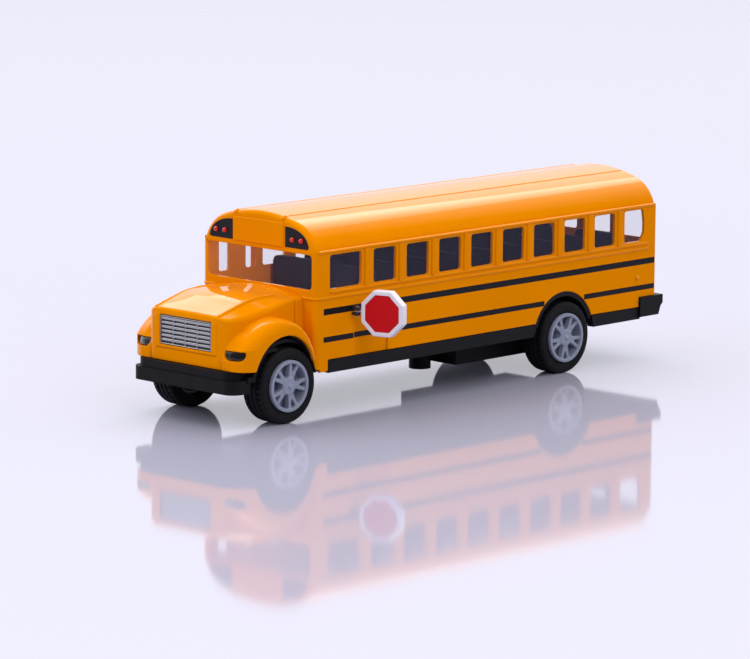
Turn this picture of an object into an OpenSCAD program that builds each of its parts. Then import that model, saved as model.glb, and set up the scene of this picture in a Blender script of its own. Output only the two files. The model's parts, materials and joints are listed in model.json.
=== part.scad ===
// Toy school bus with a cast body, a moulded chassis, a pull-back motor and a swinging stop sign.
// The front of the bus points along -Y, its left side along +X, and z = 0 is the ground under the tyres.

/* [Overall] */
// Length over both bumpers
overall_l = 150.5; // [148:0.5:156]
// Height of the roof crown above the ground
overall_h = 47.7; // [46.5:0.1:50]
// Width of the cabin over its side walls
cabin_w = 38; // [37.5:0.5:41]
// Distance from the front bumper's face to the front axle
front_overhang = 16.8; // [16.5:0.1:18]
// Distance from the rear axle to the rear bumper's face
rear_overhang = 36.2; // [34:0.1:40]

/* [Cast body] */
// Thickness of the cast walls
wall_t = 1.2; // [1:0.1:1.5]
// Distance from the front axle back to the windscreen wall
cabin_setback = 8.6; // [8:0.1:9.5]
// Height of the body's lower edge above the ground
body_edge_z = 13.7; // [13.3:0.1:14.2]
// Height of the drip rails along the roof
drip_z = 39.6; // [39:0.1:40.2]
// Radius of the roof's haunches
haunch_r = 9.6; // [8.5:0.1:10]
// Height of the window sills
sill_z = 30.45; // [29.5:0.05:31]
// Height of the window openings
window_h = 8; // [6.5:0.1:8.3]
// Width of the pillars between the windows of a side row
pillar_w = 4.03; // [2.5:0.01:6]
// Number of windows in a side row behind the front window
window_count = 9; // [6:1:9]
// Width of the driver's window, at the front of the left side
front_window_w = 10.6; // [7:0.1:11.5]
// Width of a pane in the passenger door, at the front of the right side
door_pane_w = 3.4; // [2.4:0.1:4.2]
// Radius of the window corners
window_corner_r = 0.7; // [0.3:0.1:1.5]

/* [Hood and fenders] */
// Height of the hood's front edge
hood_front_z = 25.4; // [24.8:0.1:26.5]
// Height of the hood's back edge
hood_back_z = 29.6; // [28.5:0.1:30]
// Width of the hood at the front
hood_front_w = 26; // [22:0.5:28]
// Width of the hood at the back
hood_back_w = 30; // [27:0.5:32]
// Radius of the fenders' crest about the front axle
fender_r = 16.8; // [15.5:0.1:17.5]
// Width of a fender
fender_w = 6.5; // [6:0.1:7.5]
// Radius of the front wheel openings
front_arch_r = 10.6; // [10.2:0.1:11]
// Radius of the rear wheel openings
rear_arch_r = 11.2; // [10.6:0.1:11.8]

/* [Front fittings] */
// Width of the grille
grille_w = 16.8; // [12:0.2:18]
// Height of the grille
grille_h = 6.8; // [5:0.1:7]
// Rows of slots in the grille
grille_rows = 6; // [3:1:7]
// Columns of slots in the grille
grille_columns = 4; // [2:1:6]
// Width of a headlight
headlight_w = 5.4; // [4:0.1:5.8]
// Height of a headlight
headlight_h = 2.5; // [2:0.1:3]
// Diameter of a warning lamp
lamp_d = 1.5; // [1:0.1:1.8]

/* [Chassis] */
// Height of the chassis floor's underside
floor_z = 11; // [10.8:0.1:11.2]
// Thickness of the chassis floor
floor_t = 1.2; // [1:0.1:1.4]
// Height of the skirts' lower edge
skirt_z = 10.55; // [10:0.05:10.8]
// Height of the front bumper's lower edge
front_bumper_z = 8.4; // [7:0.1:9]
// Height of the front bumper's bar
front_bumper_h = 3.2; // [2.8:0.1:4]
// Distance from the cabin's side to the front bumper's end
front_bumper_inset = 1.8; // [0.5:0.1:2.5]
// Height of the rear bumper
rear_bumper_h = 5; // [4:0.1:5.5]
// Distance that the rear bumper reaches behind the body
rear_bumper_reach = 2.2; // [1.6:0.1:2.6]

/* [Wheels] */
// Diameter of the tyres
tyre_d = 18; // [17:0.1:18.4]
// Width of the tyres
tyre_w = 6.6; // [5:0.1:6.8]
// Diameter of the rims
rim_d = 12.3; // [10.5:0.1:13.5]
// Diameter of the axles
axle_d = 1.8; // [1.4:0.1:2.2]
// Pairs of spokes in a rim
spoke_pairs = 5; // [3:1:6]

/* [Pull-back motor] */
// Gap between the motor case and the bearing plate on each side of it
motor_side_gap = 1.6; // [1.3:0.1:2.3]
// Height of the motor case's underside
motor_z = 4.5; // [4:0.1:5]
// Height of the motor case
motor_h = 15.6; // [15.4:0.1:16]
// Module of the gear teeth
gear_module = 0.5; // [0.48:0.01:0.52]
// Teeth on the pinion of the rear axle
drive_teeth = 10; // [10:1:11]
// Teeth on the transfer gear's wheel
transfer_teeth = 20; // [20:1:21]
// Teeth on the transfer gear's pinion
transfer_pinion_teeth = 10; // [10:1:11]
// Teeth on the mainspring's gear
spring_teeth = 24; // [22:1:24]
// Turns of the mainspring
spring_turns = 5; // [3:1:5]

/* [Stop sign] */
// Width of the sign across its flats
sign_w = 11.5; // [9:0.1:12]
// Thickness of the sign
sign_t = 2.2; // [1.6:0.1:2.4]
// Width of the red face across its flats
sign_face_w = 9.3; // [7:0.1:10]
// Angle of the sign from square to the side wall
sign_open_angle = 18; // [0:1:60]

/* [Seats] */
// Height of the seat backs' tops
seat_top_z = 33; // [31:0.1:36]
// Rows of seats
seat_rows = 9; // [6:1:9]

/* [Hidden] */
// Sides of the round shapes
$fn = 64;
// Overrun of every cut past the face that it opens
overrun = 0.5;
// Clearance between pieces that are fixed to each other
seat_gap = 0.1;
// Clearance of a pressed or screwed joint
press_gap = 0.02;
// Radial clearance of a turning shaft
running_gap = 0.06;
// Clearance between the faces of turning pieces
face_gap = 0.3;

// Colours of the pieces
body_yellow = "#F29A0C";
moulding_black = "#1B1B1F";
lens_clear = "#DCE6EC";
plated_silver = "#C9CCD0";
rim_grey = "#8D97AC";
steel_grey = "#A9ADB2";
lamp_red = "#C8141A";
sign_white = "#EEF0F5";
gear_white = "#E4E2D8";
spring_blue = "#5C6470";

// Places that follow from the overall sizes
front_axle_y = front_overhang - overall_l / 2;
rear_end_y = overall_l / 2;
rear_axle_y = rear_end_y - rear_overhang;
cabin_front_y = front_axle_y + cabin_setback;
cabin_rear_y = rear_end_y - rear_bumper_reach;
side_x = cabin_w / 2;
inner_x = side_x - wall_t;
axle_z = tyre_d / 2;

// Roof profile: two haunches and a crown that is tangent to both
haunch_drop = 3;
haunch_x = side_x - haunch_r;
haunch_z = drip_z - haunch_drop;
crown_rise = overall_h - haunch_z;
crown_r = (pow(haunch_x, 2) + pow(crown_rise, 2) - pow(haunch_r, 2)) / (2 * (crown_rise - haunch_r));
crown_z = overall_h - crown_r;
crown_half_w = haunch_x * crown_r / (crown_r - haunch_r);

// Trim on the roof and the side walls
drip_r = 0.55;
ridge_x = 7.9;
ridge_r = 0.36;
ridge_sink_share = 0.4;
belt_r = 0.42;
belt_sink_share = 0.35;
belt_drop = 1.15;
belt_spacing = 1.3;
belt_inset = 4;

// Windows
front_window_inset = 4.7;
window_row_inset = 19.5;
rear_post_l = 5.01;
window_pitch = (cabin_rear_y - cabin_front_y - window_row_inset - rear_post_l + pillar_w) / window_count;
window_w = window_pitch - pillar_w;
door_pane_pitch = 9;
last_window_corner_r = 2.2;
windscreen_post_w = 1.5;
windscreen_w = cabin_w - 2 * windscreen_post_w;
windscreen_h = 8.4;
windscreen_corner_r = 1.1;
rear_window_count = 3;
rear_corner_w = 3.3;
rear_pillar_w = 2.8;
rear_window_pitch = (cabin_w - 2 * rear_corner_w + rear_pillar_w) / rear_window_count;
rear_window_w = rear_window_pitch - rear_pillar_w;
door_groove = 0.4;
door_margin = 1.2;

// Hood and nose
nose_reach = 15.3;
nose_y = front_axle_y - nose_reach;
fascia_reach = 14.9;
fascia_y = front_axle_y - fascia_reach;
fascia_r = 6;
fascia_centre_z = 16.5;
fascia_corner_r = 4;
fascia_proud = 0.3;
fascia_w = cabin_w + 2 * fascia_proud;
hood_mid_share = 0.55;
hood_mid_rise_share = 0.82;
hood_flat_share = 0.8;
hood_shoulder_share = 0.45;
hood_side_drop = 3;
hood_slice = 0.4;
hood_wall_t = 1.8;
fender_crown = 1;
fender_edge_r = 3;
front_arch_shift = 1;
front_arch_rise = 1.4;
rear_arch_shift = 1;
rear_arch_rise = 0.5;
door_post_z = 10.95;
door_post_l = 4.2;

// Grille, headlights and lamps
grille_z = 21;
grille_t = 0.9;
grille_proud = 0.25;
grille_rim = 0.45;
grille_bar_share = 0.36;
grille_slot_depth = 0.5;
headlight_inset = 1.4;
headlight_x = fascia_w / 2 - headlight_inset - headlight_w;
headlight_z = 17.2;
headlight_t = 1;
lamp_panel_w = 10.7;
lamp_panel_inner_x = side_x - lamp_panel_w;
lamp_panel_h = 5;
lamp_panel_margin = 1.8;
lamp_panel_t = 0.45;
lamp_panel_proud = 0.05;
lamp_inset = 3;
lamp_inner_x = lamp_panel_inner_x + lamp_inset;
lamp_spacing = 2.9;
lamp_base_h = 0.2;
lamp_rise = 1.95;

// Chassis
skirt_t = 2;
bumper_corner_r = 3;
front_bumper_w = cabin_w - 2 * front_bumper_inset;
valance_reach = 16.5;
valance_inset = 1.3;
valance_half_w = front_bumper_w / 2 - valance_inset;
valance_y = front_axle_y - valance_reach;
bumper_depth = 5.4;
rear_wrap_l = 8.7;
rear_wrap_proud = 0.6;
rear_bumper_z = 11.1;
rear_step = 0.8;
rear_step_share = 0.42;
well_gap = 1.2;
well_wall_t = 0.8;
well_inset = 0.5;
bearing_r = 2.2;
screw_post_r = 2.7;
screw_post_z = 3.1;
front_screw_lead = 7.5;
front_screw_y = front_axle_y - front_screw_lead;
rear_screw_inset = 10.5;
rear_screw_y = cabin_rear_y - rear_screw_inset;
screw_shank_r = 0.75;
screw_head_r = 1.4;
screw_head_h = 0.9;
screw_slot_w = 0.35;
screw_l = 6;
post_r = 2.1;

// Wheels
wheel_inset = 0.3;
rim_proud = 0.26;
tyre_shoulder_r = 1;
tread_groove_w = 0.5;
tread_groove_depth = 0.5;
tread_groove_shares = [0.22, 0.41, 0.59, 0.78];
rim_ring_t = 0.95;
rim_web_t = 0.9;
spoke_t = 1.3;
spoke_w = 1.15;
spoke_spread = 15;
hub_r = 2;
hub_sink = 0.5;
hub_dome_r = 0.8;
hub_core_share = 0.75;
axle_end_inset = 1.1;

// Motor
motor_lead = 29.7;
motor_front_y = rear_axle_y - motor_lead;
screw_post_lead = 3.2;
screw_post_y = motor_front_y - screw_post_lead;
motor_tail = 9;
motor_back_y = rear_axle_y + motor_tail;
motor_wall_t = 1;
motor_lug_l = 8;
motor_lug_w = 3;
motor_lug_t = 1;
motor_lug_inset = 11;
motor_lug_y = motor_front_y + motor_lug_inset;
motor_screw_l = 2.1;
motor_screw_r = 0.6;
motor_screw_head_r = 1.1;
motor_screw_head_h = 0.6;
pressure_angle = 20;
addendum_share = 0.8;
dedendum_share = 1.15;
tooth_play = 0.14;
flank_steps = 5;
transfer_lean = 17;
spring_lean = 7.4;
gear_w = 2.4;
gear_plane_x = 1.7;
transfer_pinion_w = 3;
pin_r = 0.75;
pin_boss_r = 1.8;
arbor_r = 1.9;
spring_strip_t = 0.32;
spring_pitch = 0.8;
spring_points = 24;

// Stop sign
hinge_setback = 12.4;
hinge_y = cabin_front_y + hinge_setback;
hinge_z = 24.5;
hinge_standoff = 1.4;
hinge_pin_r = 0.4;
knuckle_r = 0.85;
knuckle_h = 1.2;
ear_t = 0.55;
ear_gap = 0.1;
ear_r = 0.9;
tab_start = 1.1;
tab_h = 2.2;
sign_edge_x = 1.6;
sign_front_share = 0.614;
sign_pocket = 0.35;
sign_face_t = 0.2;
sign_flat_sides = 8;
sign_recess_depth = 0.5;
sign_recess_inset = 0.6;
bracket_plug_l = 0.9;
bracket_plug_w = 1.6;

// Seats and glazing
seat_floor_z = 21;
seat_floor_t = 1;
seat_gap_to_glazing = 0.4;
seat_bench_h = 4;
seat_back_t = 1.6;
seat_bench_share = 0.55;
seat_aisle_w = 9;
seat_corner_r = 1.6;
seat_leg_t = 1.4;
glazing_t = 0.7;
glazing_margin = 0.9;
glazing_alpha_share = 0.4;

// Shapes that the pieces share

module box(low, high) {
    translate(low) cube(high - low);
}

module rod_x(r, x0, x1, y, z) {
    translate([x0, y, z]) rotate([0, 90, 0]) cylinder(r = r, h = x1 - x0);
}

module rod_y(r, y0, y1, x, z) {
    translate([x, y0, z]) rotate([-90, 0, 0]) cylinder(r = r, h = y1 - y0);
}

module rod_z(r, z0, z1, x, y) {
    translate([x, y, z0]) cylinder(r = r, h = z1 - z0);
}

// Stands a flat outline in the plane across X, its first axis along Y and its second along Z
module across_x(x, y, z) {
    translate([x, y, z]) rotate([90, 0, 90]) children();
}

// Stands a flat outline in the plane across Y, its first axis along X and its second along Z
module across_y(y0, y1) {
    translate([0, y1, 0]) rotate([90, 0, 0]) linear_extrude(y1 - y0) children();
}

module both_sides() {
    children();
    mirror([1, 0, 0]) children();
}

// Flat rectangle with round corners, from one corner to the opposite one
module round_rectangle(low, high, r) {
    translate([low[0] + r, low[1]]) square([high[0] - low[0] - 2 * r, high[1] - low[1]]);
    translate([low[0], low[1] + r]) square([high[0] - low[0], high[1] - low[1] - 2 * r]);
    for (x = [low[0] + r, high[0] - r], y = [low[1] + r, high[1] - r])
        translate([x, y]) circle(r);
}

// Section of the cabin, drawn in by an inset all round
module cabin_section(inset, low_z) {
    intersection() {
        translate([0, crown_z]) circle(crown_r - inset);
        translate([-crown_half_w, haunch_z]) square([2 * crown_half_w, crown_rise]);
    }
    for (side = [-1, 1])
        translate([side * haunch_x, haunch_z]) circle(haunch_r - inset);
    translate([-haunch_x, low_z]) square([2 * haunch_x, haunch_z + haunch_r / 2 - low_z]);
    translate([inset - side_x, low_z]) square([2 * (side_x - inset), haunch_z - low_z]);
}

// Body

// Crown's height at a distance from the middle plane
function crown_height(x) = crown_z + sqrt(pow(crown_r, 2) - pow(x, 2));

module roof_trim() {
    ridge_z = crown_height(ridge_x) - ridge_r * ridge_sink_share;
    both_sides() {
        rod_y(ridge_r, cabin_front_y + ridge_r, cabin_rear_y - ridge_r, ridge_x, ridge_z);
        translate([ridge_x, cabin_front_y + ridge_r, ridge_z]) sphere(ridge_r);
        rod_y(drip_r, cabin_front_y, cabin_rear_y, side_x, drip_z);
    }
}

module belt_ridges() {
    for (row = [0, 1]) {
        z = sill_z - belt_drop - row * belt_spacing;
        x = side_x - belt_r * belt_sink_share;
        both_sides() rod_y(belt_r, cabin_front_y + belt_inset, cabin_rear_y - belt_inset, x, z);
    }
}

// Half outline of the hood from its side up to the middle, at one station along it
function hood_side(half_w, low_z, top_z) = [
    [half_w, low_z],
    [half_w, top_z - hood_side_drop],
    [half_w * (1 + hood_flat_share) / 2, top_z - hood_side_drop * hood_shoulder_share],
    [half_w * hood_flat_share, top_z - hood_side_drop * hood_shoulder_share / 4],
    [half_w * hood_flat_share / 2, top_z]
];

module hood_slice_at(y, w, low_z, top_z) {
    half = hood_side(w / 2, low_z, top_z);
    other = [for (i = [len(half) - 1:-1:0]) [-half[i][0], half[i][1]]];
    across_y(y, y + hood_slice) polygon(concat(half, other));
}

// Form of the hood between its nose and the windscreen wall, drawn in by an inset
module hood_form(inset, low_z) {
    mid_y = nose_y + (cabin_front_y - nose_y) * hood_mid_share;
    mid_z = hood_front_z + (hood_back_z - hood_front_z) * hood_mid_rise_share;
    mid_w = hood_front_w + (hood_back_w - hood_front_w) * hood_mid_share;
    hull() {
        hood_slice_at(nose_y + inset, hood_front_w - 2 * inset, low_z, hood_front_z - inset);
        hood_slice_at(mid_y, mid_w - 2 * inset, low_z, mid_z - inset);
        hood_slice_at(cabin_front_y - hood_slice, hood_back_w - 2 * inset, low_z, hood_back_z - inset);
    }
}

// Front corner block under the hood, with a round upper edge and round corners in plan
module fascia_outer(inset) {
    half_w = fascia_w / 2 - inset;
    back_y = fascia_y + fascia_r;
    top_z = fascia_centre_z + fascia_r - inset;
    intersection() {
        union() {
            rod_x(fascia_r - inset, -half_w, half_w, back_y, fascia_centre_z);
            box([-half_w, fascia_y + inset, body_edge_z], [half_w, back_y, fascia_centre_z]);
        }
        translate([0, 0, body_edge_z]) linear_extrude(top_z)
            round_rectangle([-half_w, fascia_y + inset], [half_w, back_y + fascia_corner_r],
                            fascia_corner_r - inset);
        across_y(fascia_y, back_y)
            round_rectangle([-half_w, body_edge_z - fascia_r], [half_w, top_z], fender_edge_r - inset);
    }
}

module fender_outer() {
    outer_x = fascia_w / 2;
    root_x = outer_x - fender_w;
    across_x(0, front_axle_y, axle_z) rotate_extrude(angle = 180) {
        polygon([
            [axle_z, root_x],
            [fender_r - fender_crown, root_x],
            [fender_r, outer_x - fender_edge_r],
            [fender_r - fender_edge_r, outer_x],
            [axle_z, outer_x]
        ]);
        translate([fender_r - fender_edge_r, outer_x - fender_edge_r]) circle(fender_edge_r);
    }
}

module front_arch(x0, x1) {
    rod_x(front_arch_r, x0, x1, front_axle_y - front_arch_shift, axle_z + front_arch_rise);
}

module rear_arch(x0, x1) {
    rod_x(rear_arch_r, x0, x1, rear_axle_y - rear_arch_shift, axle_z + rear_arch_rise);
}

module side_window(start_y, w, r) {
    across_x(inner_x - overrun, 0, 0) linear_extrude(wall_t + drip_r + 2 * overrun)
        round_rectangle([start_y, sill_z], [start_y + w, sill_z + window_h], r);
}

module driver_window() {
    side_window(cabin_front_y + front_window_inset, front_window_w, window_corner_r);
}

// The two narrow panes of the passenger door, on the right side
module door_panes() {
    start_y = cabin_front_y + front_window_inset;
    mirror([1, 0, 0]) for (i = [0, 1])
        side_window(start_y + i * door_pane_pitch, door_pane_w, window_corner_r);
}

module window_row() {
    for (i = [0:window_count - 1]) {
        last = i == window_count - 1;
        side_window(cabin_front_y + window_row_inset + i * window_pitch, window_w,
                    last ? last_window_corner_r : window_corner_r);
    }
}

module end_windows() {
    across_y(cabin_front_y - overrun, cabin_front_y + wall_t + overrun)
        round_rectangle([-windscreen_w / 2, sill_z], [windscreen_w / 2, sill_z + windscreen_h],
                        windscreen_corner_r);
    for (i = [0:rear_window_count - 1]) {
        x = (i - (rear_window_count - 1) / 2) * rear_window_pitch;
        across_y(cabin_rear_y - wall_t - overrun, cabin_rear_y + overrun)
            round_rectangle([x - rear_window_w / 2, sill_z], [x + rear_window_w / 2, sill_z + window_h],
                            window_corner_r);
    }
}

// Shallow groove round the emergency door in the rear wall
module rear_door_groove() {
    half_w = rear_window_w / 2 + door_margin;
    low_z = rear_bumper_z + rear_bumper_h + door_margin;
    high_z = sill_z + window_h + door_margin / 2;
    difference() {
        box([-half_w, cabin_rear_y - door_groove, low_z], [half_w, cabin_rear_y + overrun, high_z]);
        box([door_groove - half_w, cabin_rear_y - wall_t, low_z + door_groove],
            [half_w - door_groove, cabin_rear_y + wall_t, high_z - door_groove]);
    }
}

// Grooves of the folding passenger door on the right side, under and beside its window
module side_door_grooves() {
    start_y = cabin_front_y + front_window_inset - door_margin;
    end_y = start_y + door_pane_pitch + door_pane_w + 2 * door_margin;
    mid_y = (start_y + end_y) / 2;
    for (y = [start_y, mid_y, end_y])
        box([-side_x - overrun, y - door_groove / 2, body_edge_z - overrun],
            [door_groove - side_x, y + door_groove / 2, sill_z - belt_drop - 2 * belt_spacing]);
}

module sign_recess() {
    box([side_x - sign_recess_depth, hinge_y + sign_recess_inset, body_edge_z - overrun],
        [side_x + overrun, hinge_y + sign_recess_inset + sign_w, hinge_z - ear_r]);
}

module body_posts() {
    difference() {
        union() {
            rod_z(post_r, floor_z + floor_t + seat_gap, hood_front_z, 0, front_screw_y);
            rod_z(post_r, floor_z + floor_t + seat_gap, seat_floor_z - seat_gap, 0, rear_screw_y);
            box([-wall_t / 2, rear_screw_y, body_edge_z],
                [wall_t / 2, cabin_rear_y - wall_t / 2, seat_floor_z - seat_gap]);
        }
        for (y = [front_screw_y, rear_screw_y])
            rod_z(screw_shank_r + press_gap, floor_z, floor_z + screw_l + overrun, 0, y);
    }
}

module body_shell() {
    color(body_yellow) {
        difference() {
            union() {
                across_y(cabin_front_y, cabin_rear_y) cabin_section(0, body_edge_z);
                roof_trim();
                belt_ridges();
                hood_form(0, body_edge_z);
                fascia_outer(0);
                both_sides() {
                    intersection() {
                        fender_outer();
                        box([0, fascia_y, body_edge_z], [cabin_w, cabin_front_y + fender_r, overall_h]);
                    }
                    box([inner_x, cabin_front_y, door_post_z],
                        [side_x, cabin_front_y + door_post_l, body_edge_z + wall_t]);
                }
            }
            across_y(cabin_front_y + wall_t, cabin_rear_y - wall_t) cabin_section(wall_t, floor_z);
            hood_form(hood_wall_t, floor_z);
            rod_x(well_outer_r + seat_gap, -inner_x, inner_x, front_axle_y, axle_z);
            both_sides() {
                front_arch(inner_x - overrun, cabin_w);
                rear_arch(inner_x - overrun, cabin_w);
                window_row();
                rear_bumper_notch();
                headlight_pocket();
                lamp_panel_cut();
            }
            driver_window();
            door_panes();
            end_windows();
            rear_door_groove();
            side_door_grooves();
            sign_recess();
            stop_bracket_hole();
            grille_pocket();
        }
        body_posts();
    }
}

module rear_bumper_notch() {
    box([inner_x - overrun, rear_end_y - rear_wrap_l - seat_gap, body_edge_z - overrun],
        [cabin_w, rear_end_y, rear_bumper_z + rear_bumper_h + seat_gap]);
}

// Glazing: one clear tube of four panes behind all the windows
module window_glazing() {
    outer = [inner_x - seat_gap, cabin_front_y + wall_t + seat_gap, cabin_rear_y - wall_t - seat_gap];
    low_z = sill_z - glazing_margin;
    high_z = sill_z + windscreen_h + glazing_margin;
    color(lens_clear, glazing_alpha_share) intersection() {
        difference() {
            box([-outer[0], outer[1], low_z], [outer[0], outer[2], high_z]);
            box([glazing_t - outer[0], outer[1] + glazing_t, low_z - overrun],
                [outer[0] - glazing_t, outer[2] - glazing_t, high_z + overrun]);
        }
        across_y(outer[1], outer[2]) cabin_section(wall_t + seat_gap, floor_z);
    }
}

// Seats
seat_half_w = inner_x - seat_gap - glazing_t - seat_gap_to_glazing;
seat_front_y = cabin_front_y + wall_t + glazing_t + seat_gap + seat_gap_to_glazing;
seat_back_y = cabin_rear_y - wall_t - glazing_t - seat_gap - seat_gap_to_glazing;
seat_pitch = (seat_back_y - seat_front_y - window_row_inset / 2) / (seat_rows + 1);

module seat_row(y) {
    bench_z = seat_floor_z + seat_floor_t + seat_bench_h;
    both_sides() {
        across_y(y, y + seat_back_t)
            round_rectangle([seat_aisle_w / 2, seat_floor_z + seat_floor_t / 2],
                            [seat_half_w, seat_top_z], seat_corner_r);
        box([seat_aisle_w / 2, y - seat_pitch * seat_bench_share, seat_floor_z],
            [seat_half_w, y + seat_back_t / 2, bench_z]);
    }
}

module seat_moulding() {
    leg_z = floor_z + floor_t;
    well_reach = well_outer_r + well_gap;
    color(moulding_black) {
        difference() {
            union() {
                box([-seat_half_w, seat_front_y, seat_floor_z],
                    [seat_half_w, seat_back_y, seat_floor_z + seat_floor_t]);
                for (i = [1:seat_rows])
                    seat_row(seat_front_y + window_row_inset / 2 + i * seat_pitch - seat_back_t);
                both_sides() {
                    box([seat_half_w - seat_leg_t, front_axle_y + well_reach, leg_z],
                        [seat_half_w, rear_axle_y - well_reach, seat_floor_z + seat_floor_t / 2]);
                    box([seat_half_w - seat_leg_t, rear_axle_y + well_reach, leg_z],
                        [seat_half_w, seat_back_y, seat_floor_z + seat_floor_t / 2]);
                }
                rod_z(post_r, leg_z, seat_floor_z + seat_floor_t / 2, 0, screw_post_y);
            }
            rod_z(screw_shank_r + press_gap, leg_z - overrun, leg_z + screw_l, 0, screw_post_y);
        }
    }
}

// Chassis
well_r = axle_z + well_gap;
well_outer_r = well_r + well_wall_t;
tyre_outer_x = side_x - wheel_inset;
tyre_inner_x = tyre_outer_x - tyre_w;
well_x = tyre_inner_x - well_inset;
motor_w = 2 * (well_x - well_wall_t - motor_side_gap);
floor_half_w = inner_x - 2 * seat_gap;
bumper_back_y = front_axle_y - well_outer_r;

// Bulged cover over one wheel, with the bearing plate that the axle turns in
module wheel_well(y, bore_r) {
    difference() {
        union() {
            rod_x(well_outer_r, well_x - well_wall_t, floor_half_w, y, axle_z);
            box([well_x - well_wall_t, y - bearing_r, axle_z], [well_x, y + bearing_r, floor_z + floor_t]);
        }
        rod_x(well_r, well_x, floor_half_w + overrun, y, axle_z);
        box([0, y - 2 * well_r, -cabin_w], [cabin_w, y + 2 * well_r, floor_z]);
    }
    difference() {
        union() {
            rod_x(bearing_r, well_x - well_wall_t, well_x, y, axle_z);
            box([well_x - well_wall_t, y - bearing_r, axle_z], [well_x, y + bearing_r, floor_z + floor_t]);
        }
        rod_x(bore_r, well_x - 2 * well_wall_t, well_x + overrun, y, axle_z);
    }
}

module front_bumper() {
    front_y = -rear_end_y;
    difference() {
        union() {
            translate([0, 0, front_bumper_z]) linear_extrude(front_bumper_h)
                round_rectangle([-front_bumper_w / 2, front_y],
                                [front_bumper_w / 2, front_y + bumper_depth + bumper_corner_r],
                                bumper_corner_r);
            translate([0, 0, front_bumper_z]) linear_extrude(body_edge_z - seat_gap - front_bumper_z)
                round_rectangle([-valance_half_w, valance_y],
                                [valance_half_w, valance_y + 3 * bumper_corner_r], bumper_corner_r);
        }
        box([-cabin_w, bumper_back_y, 0], [cabin_w, bumper_back_y + cabin_w, floor_z]);
        box([-cabin_w, bumper_back_y + wall_t, 0], [cabin_w, bumper_back_y + cabin_w, overall_h]);
        box([wall_t - valance_half_w, valance_y + 2 * wall_t, floor_z + floor_t],
            [valance_half_w - wall_t, bumper_back_y + overrun, overall_h]);
    }
}

module rear_bumper() {
    top_z = rear_bumper_z + rear_bumper_h;
    step_z = rear_bumper_z + rear_bumper_h * rear_step_share;
    half_w = side_x + rear_wrap_proud;
    side_profile = [
        [rear_end_y - rear_wrap_l, rear_bumper_z],
        [rear_end_y - 2 * rear_step, rear_bumper_z],
        [rear_end_y - rear_step, step_z],
        [rear_end_y, step_z + rear_step],
        [rear_end_y, top_z],
        [rear_end_y - rear_wrap_l, top_z]
    ];
    difference() {
        across_x(-half_w, 0, 0) linear_extrude(2 * half_w) polygon(side_profile);
        box([-inner_x, rear_end_y - rear_wrap_l - overrun, floor_z + floor_t],
            [inner_x, cabin_rear_y + seat_gap, overall_h]);
        box([-side_x - seat_gap, cabin_rear_y - wall_t - seat_gap, body_edge_z - seat_gap],
            [side_x + seat_gap, cabin_rear_y + seat_gap, overall_h]);
    }
}

module skirts() {
    both_sides() difference() {
        box([side_x - skirt_t, cabin_front_y + door_post_l + seat_gap, skirt_z],
            [side_x, rear_end_y - rear_wrap_l + overrun, body_edge_z - seat_gap]);
        rear_arch(0, cabin_w);
    }
}

module screw_hole(y, top_z) {
    rod_z(screw_shank_r + press_gap, floor_z - overrun, top_z + overrun, 0, y);
}

module chassis_base() {
    floor_top = floor_z + floor_t;
    motor_half = motor_w / 2 + seat_gap;
    color(moulding_black) difference() {
        union() {
            difference() {
                box([-floor_half_w, bumper_back_y - wall_t, floor_z],
                    [floor_half_w, cabin_rear_y - wall_t / 2, floor_top]);
                for (y = [front_axle_y, rear_axle_y]) both_sides()
                    box([well_x, y - well_r, floor_z - overrun],
                        [cabin_w, y + well_r, floor_top + overrun]);
            }
            both_sides() {
                wheel_well(front_axle_y, axle_d / 2 + running_gap);
                wheel_well(rear_axle_y, axle_d / 2 + face_gap);
            }
            front_bumper();
            rear_bumper();
            skirts();
            rod_z(screw_post_r, screw_post_z, floor_top, 0, screw_post_y);
        }
        box([-motor_half, motor_front_y - seat_gap, floor_z - overrun],
            [motor_half, motor_back_y + seat_gap, floor_top + overrun]);
        for (y = [front_screw_y, screw_post_y, rear_screw_y])
            screw_hole(y, floor_top);
        rod_z(screw_head_r + seat_gap, screw_post_z - overrun, floor_z, 0, screw_post_y);
        for (side = [-1, 1])
            rod_z(motor_screw_r + press_gap, floor_z - overrun, floor_top + overrun,
                  side * (motor_w + motor_lug_w) / 2, motor_lug_y);
    }
}

// One screw with a cross slot, its head's upper face at height z
module screw(x, y, z, shank_r, shank_l, head_r, head_h) {
    difference() {
        union() {
            rod_z(head_r, z - head_h, z, x, y);
            rod_z(shank_r, z - head_h / 2, z + shank_l, x, y);
        }
        for (turn = [0, 90]) translate([x, y, z - head_h]) rotate([0, 0, turn])
            cube([2 * head_r * hood_flat_share, screw_slot_w, head_h], center = true);
    }
}

module chassis_screws() {
    color(steel_grey) for (y = [front_screw_y, screw_post_y, rear_screw_y])
        screw(0, y, floor_z, screw_shank_r, screw_l - overrun, screw_head_r, screw_head_h);
}

// Front fittings

module grille_pocket() {
    box([-grille_w / 2 - seat_gap, nose_y - overrun, grille_z - grille_h / 2 - seat_gap],
        [grille_w / 2 + seat_gap, nose_y + grille_t - grille_proud, grille_z + grille_h / 2 + seat_gap]);
}

module grille() {
    front_y = nose_y - grille_proud;
    low_x = grille_rim - grille_w / 2;
    low_z = grille_z - grille_h / 2 + grille_rim;
    pitch_x = (grille_w - 2 * grille_rim) / grille_columns;
    pitch_z = (grille_h - 2 * grille_rim) / grille_rows;
    slot_w = pitch_x * (1 - grille_bar_share / 4);
    slot_h = pitch_z * (1 - grille_bar_share);
    color(plated_silver) difference() {
        box([-grille_w / 2, front_y, grille_z - grille_h / 2],
            [grille_w / 2, front_y + grille_t, grille_z + grille_h / 2]);
        for (i = [0:grille_columns - 1], j = [0:grille_rows - 1]) {
            x = low_x + i * pitch_x + (pitch_x - slot_w) / 2;
            z = low_z + j * pitch_z + (pitch_z - slot_h) / 2;
            box([x, front_y - overrun, z], [x + slot_w, front_y + grille_slot_depth, z + slot_h]);
        }
    }
}

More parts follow.
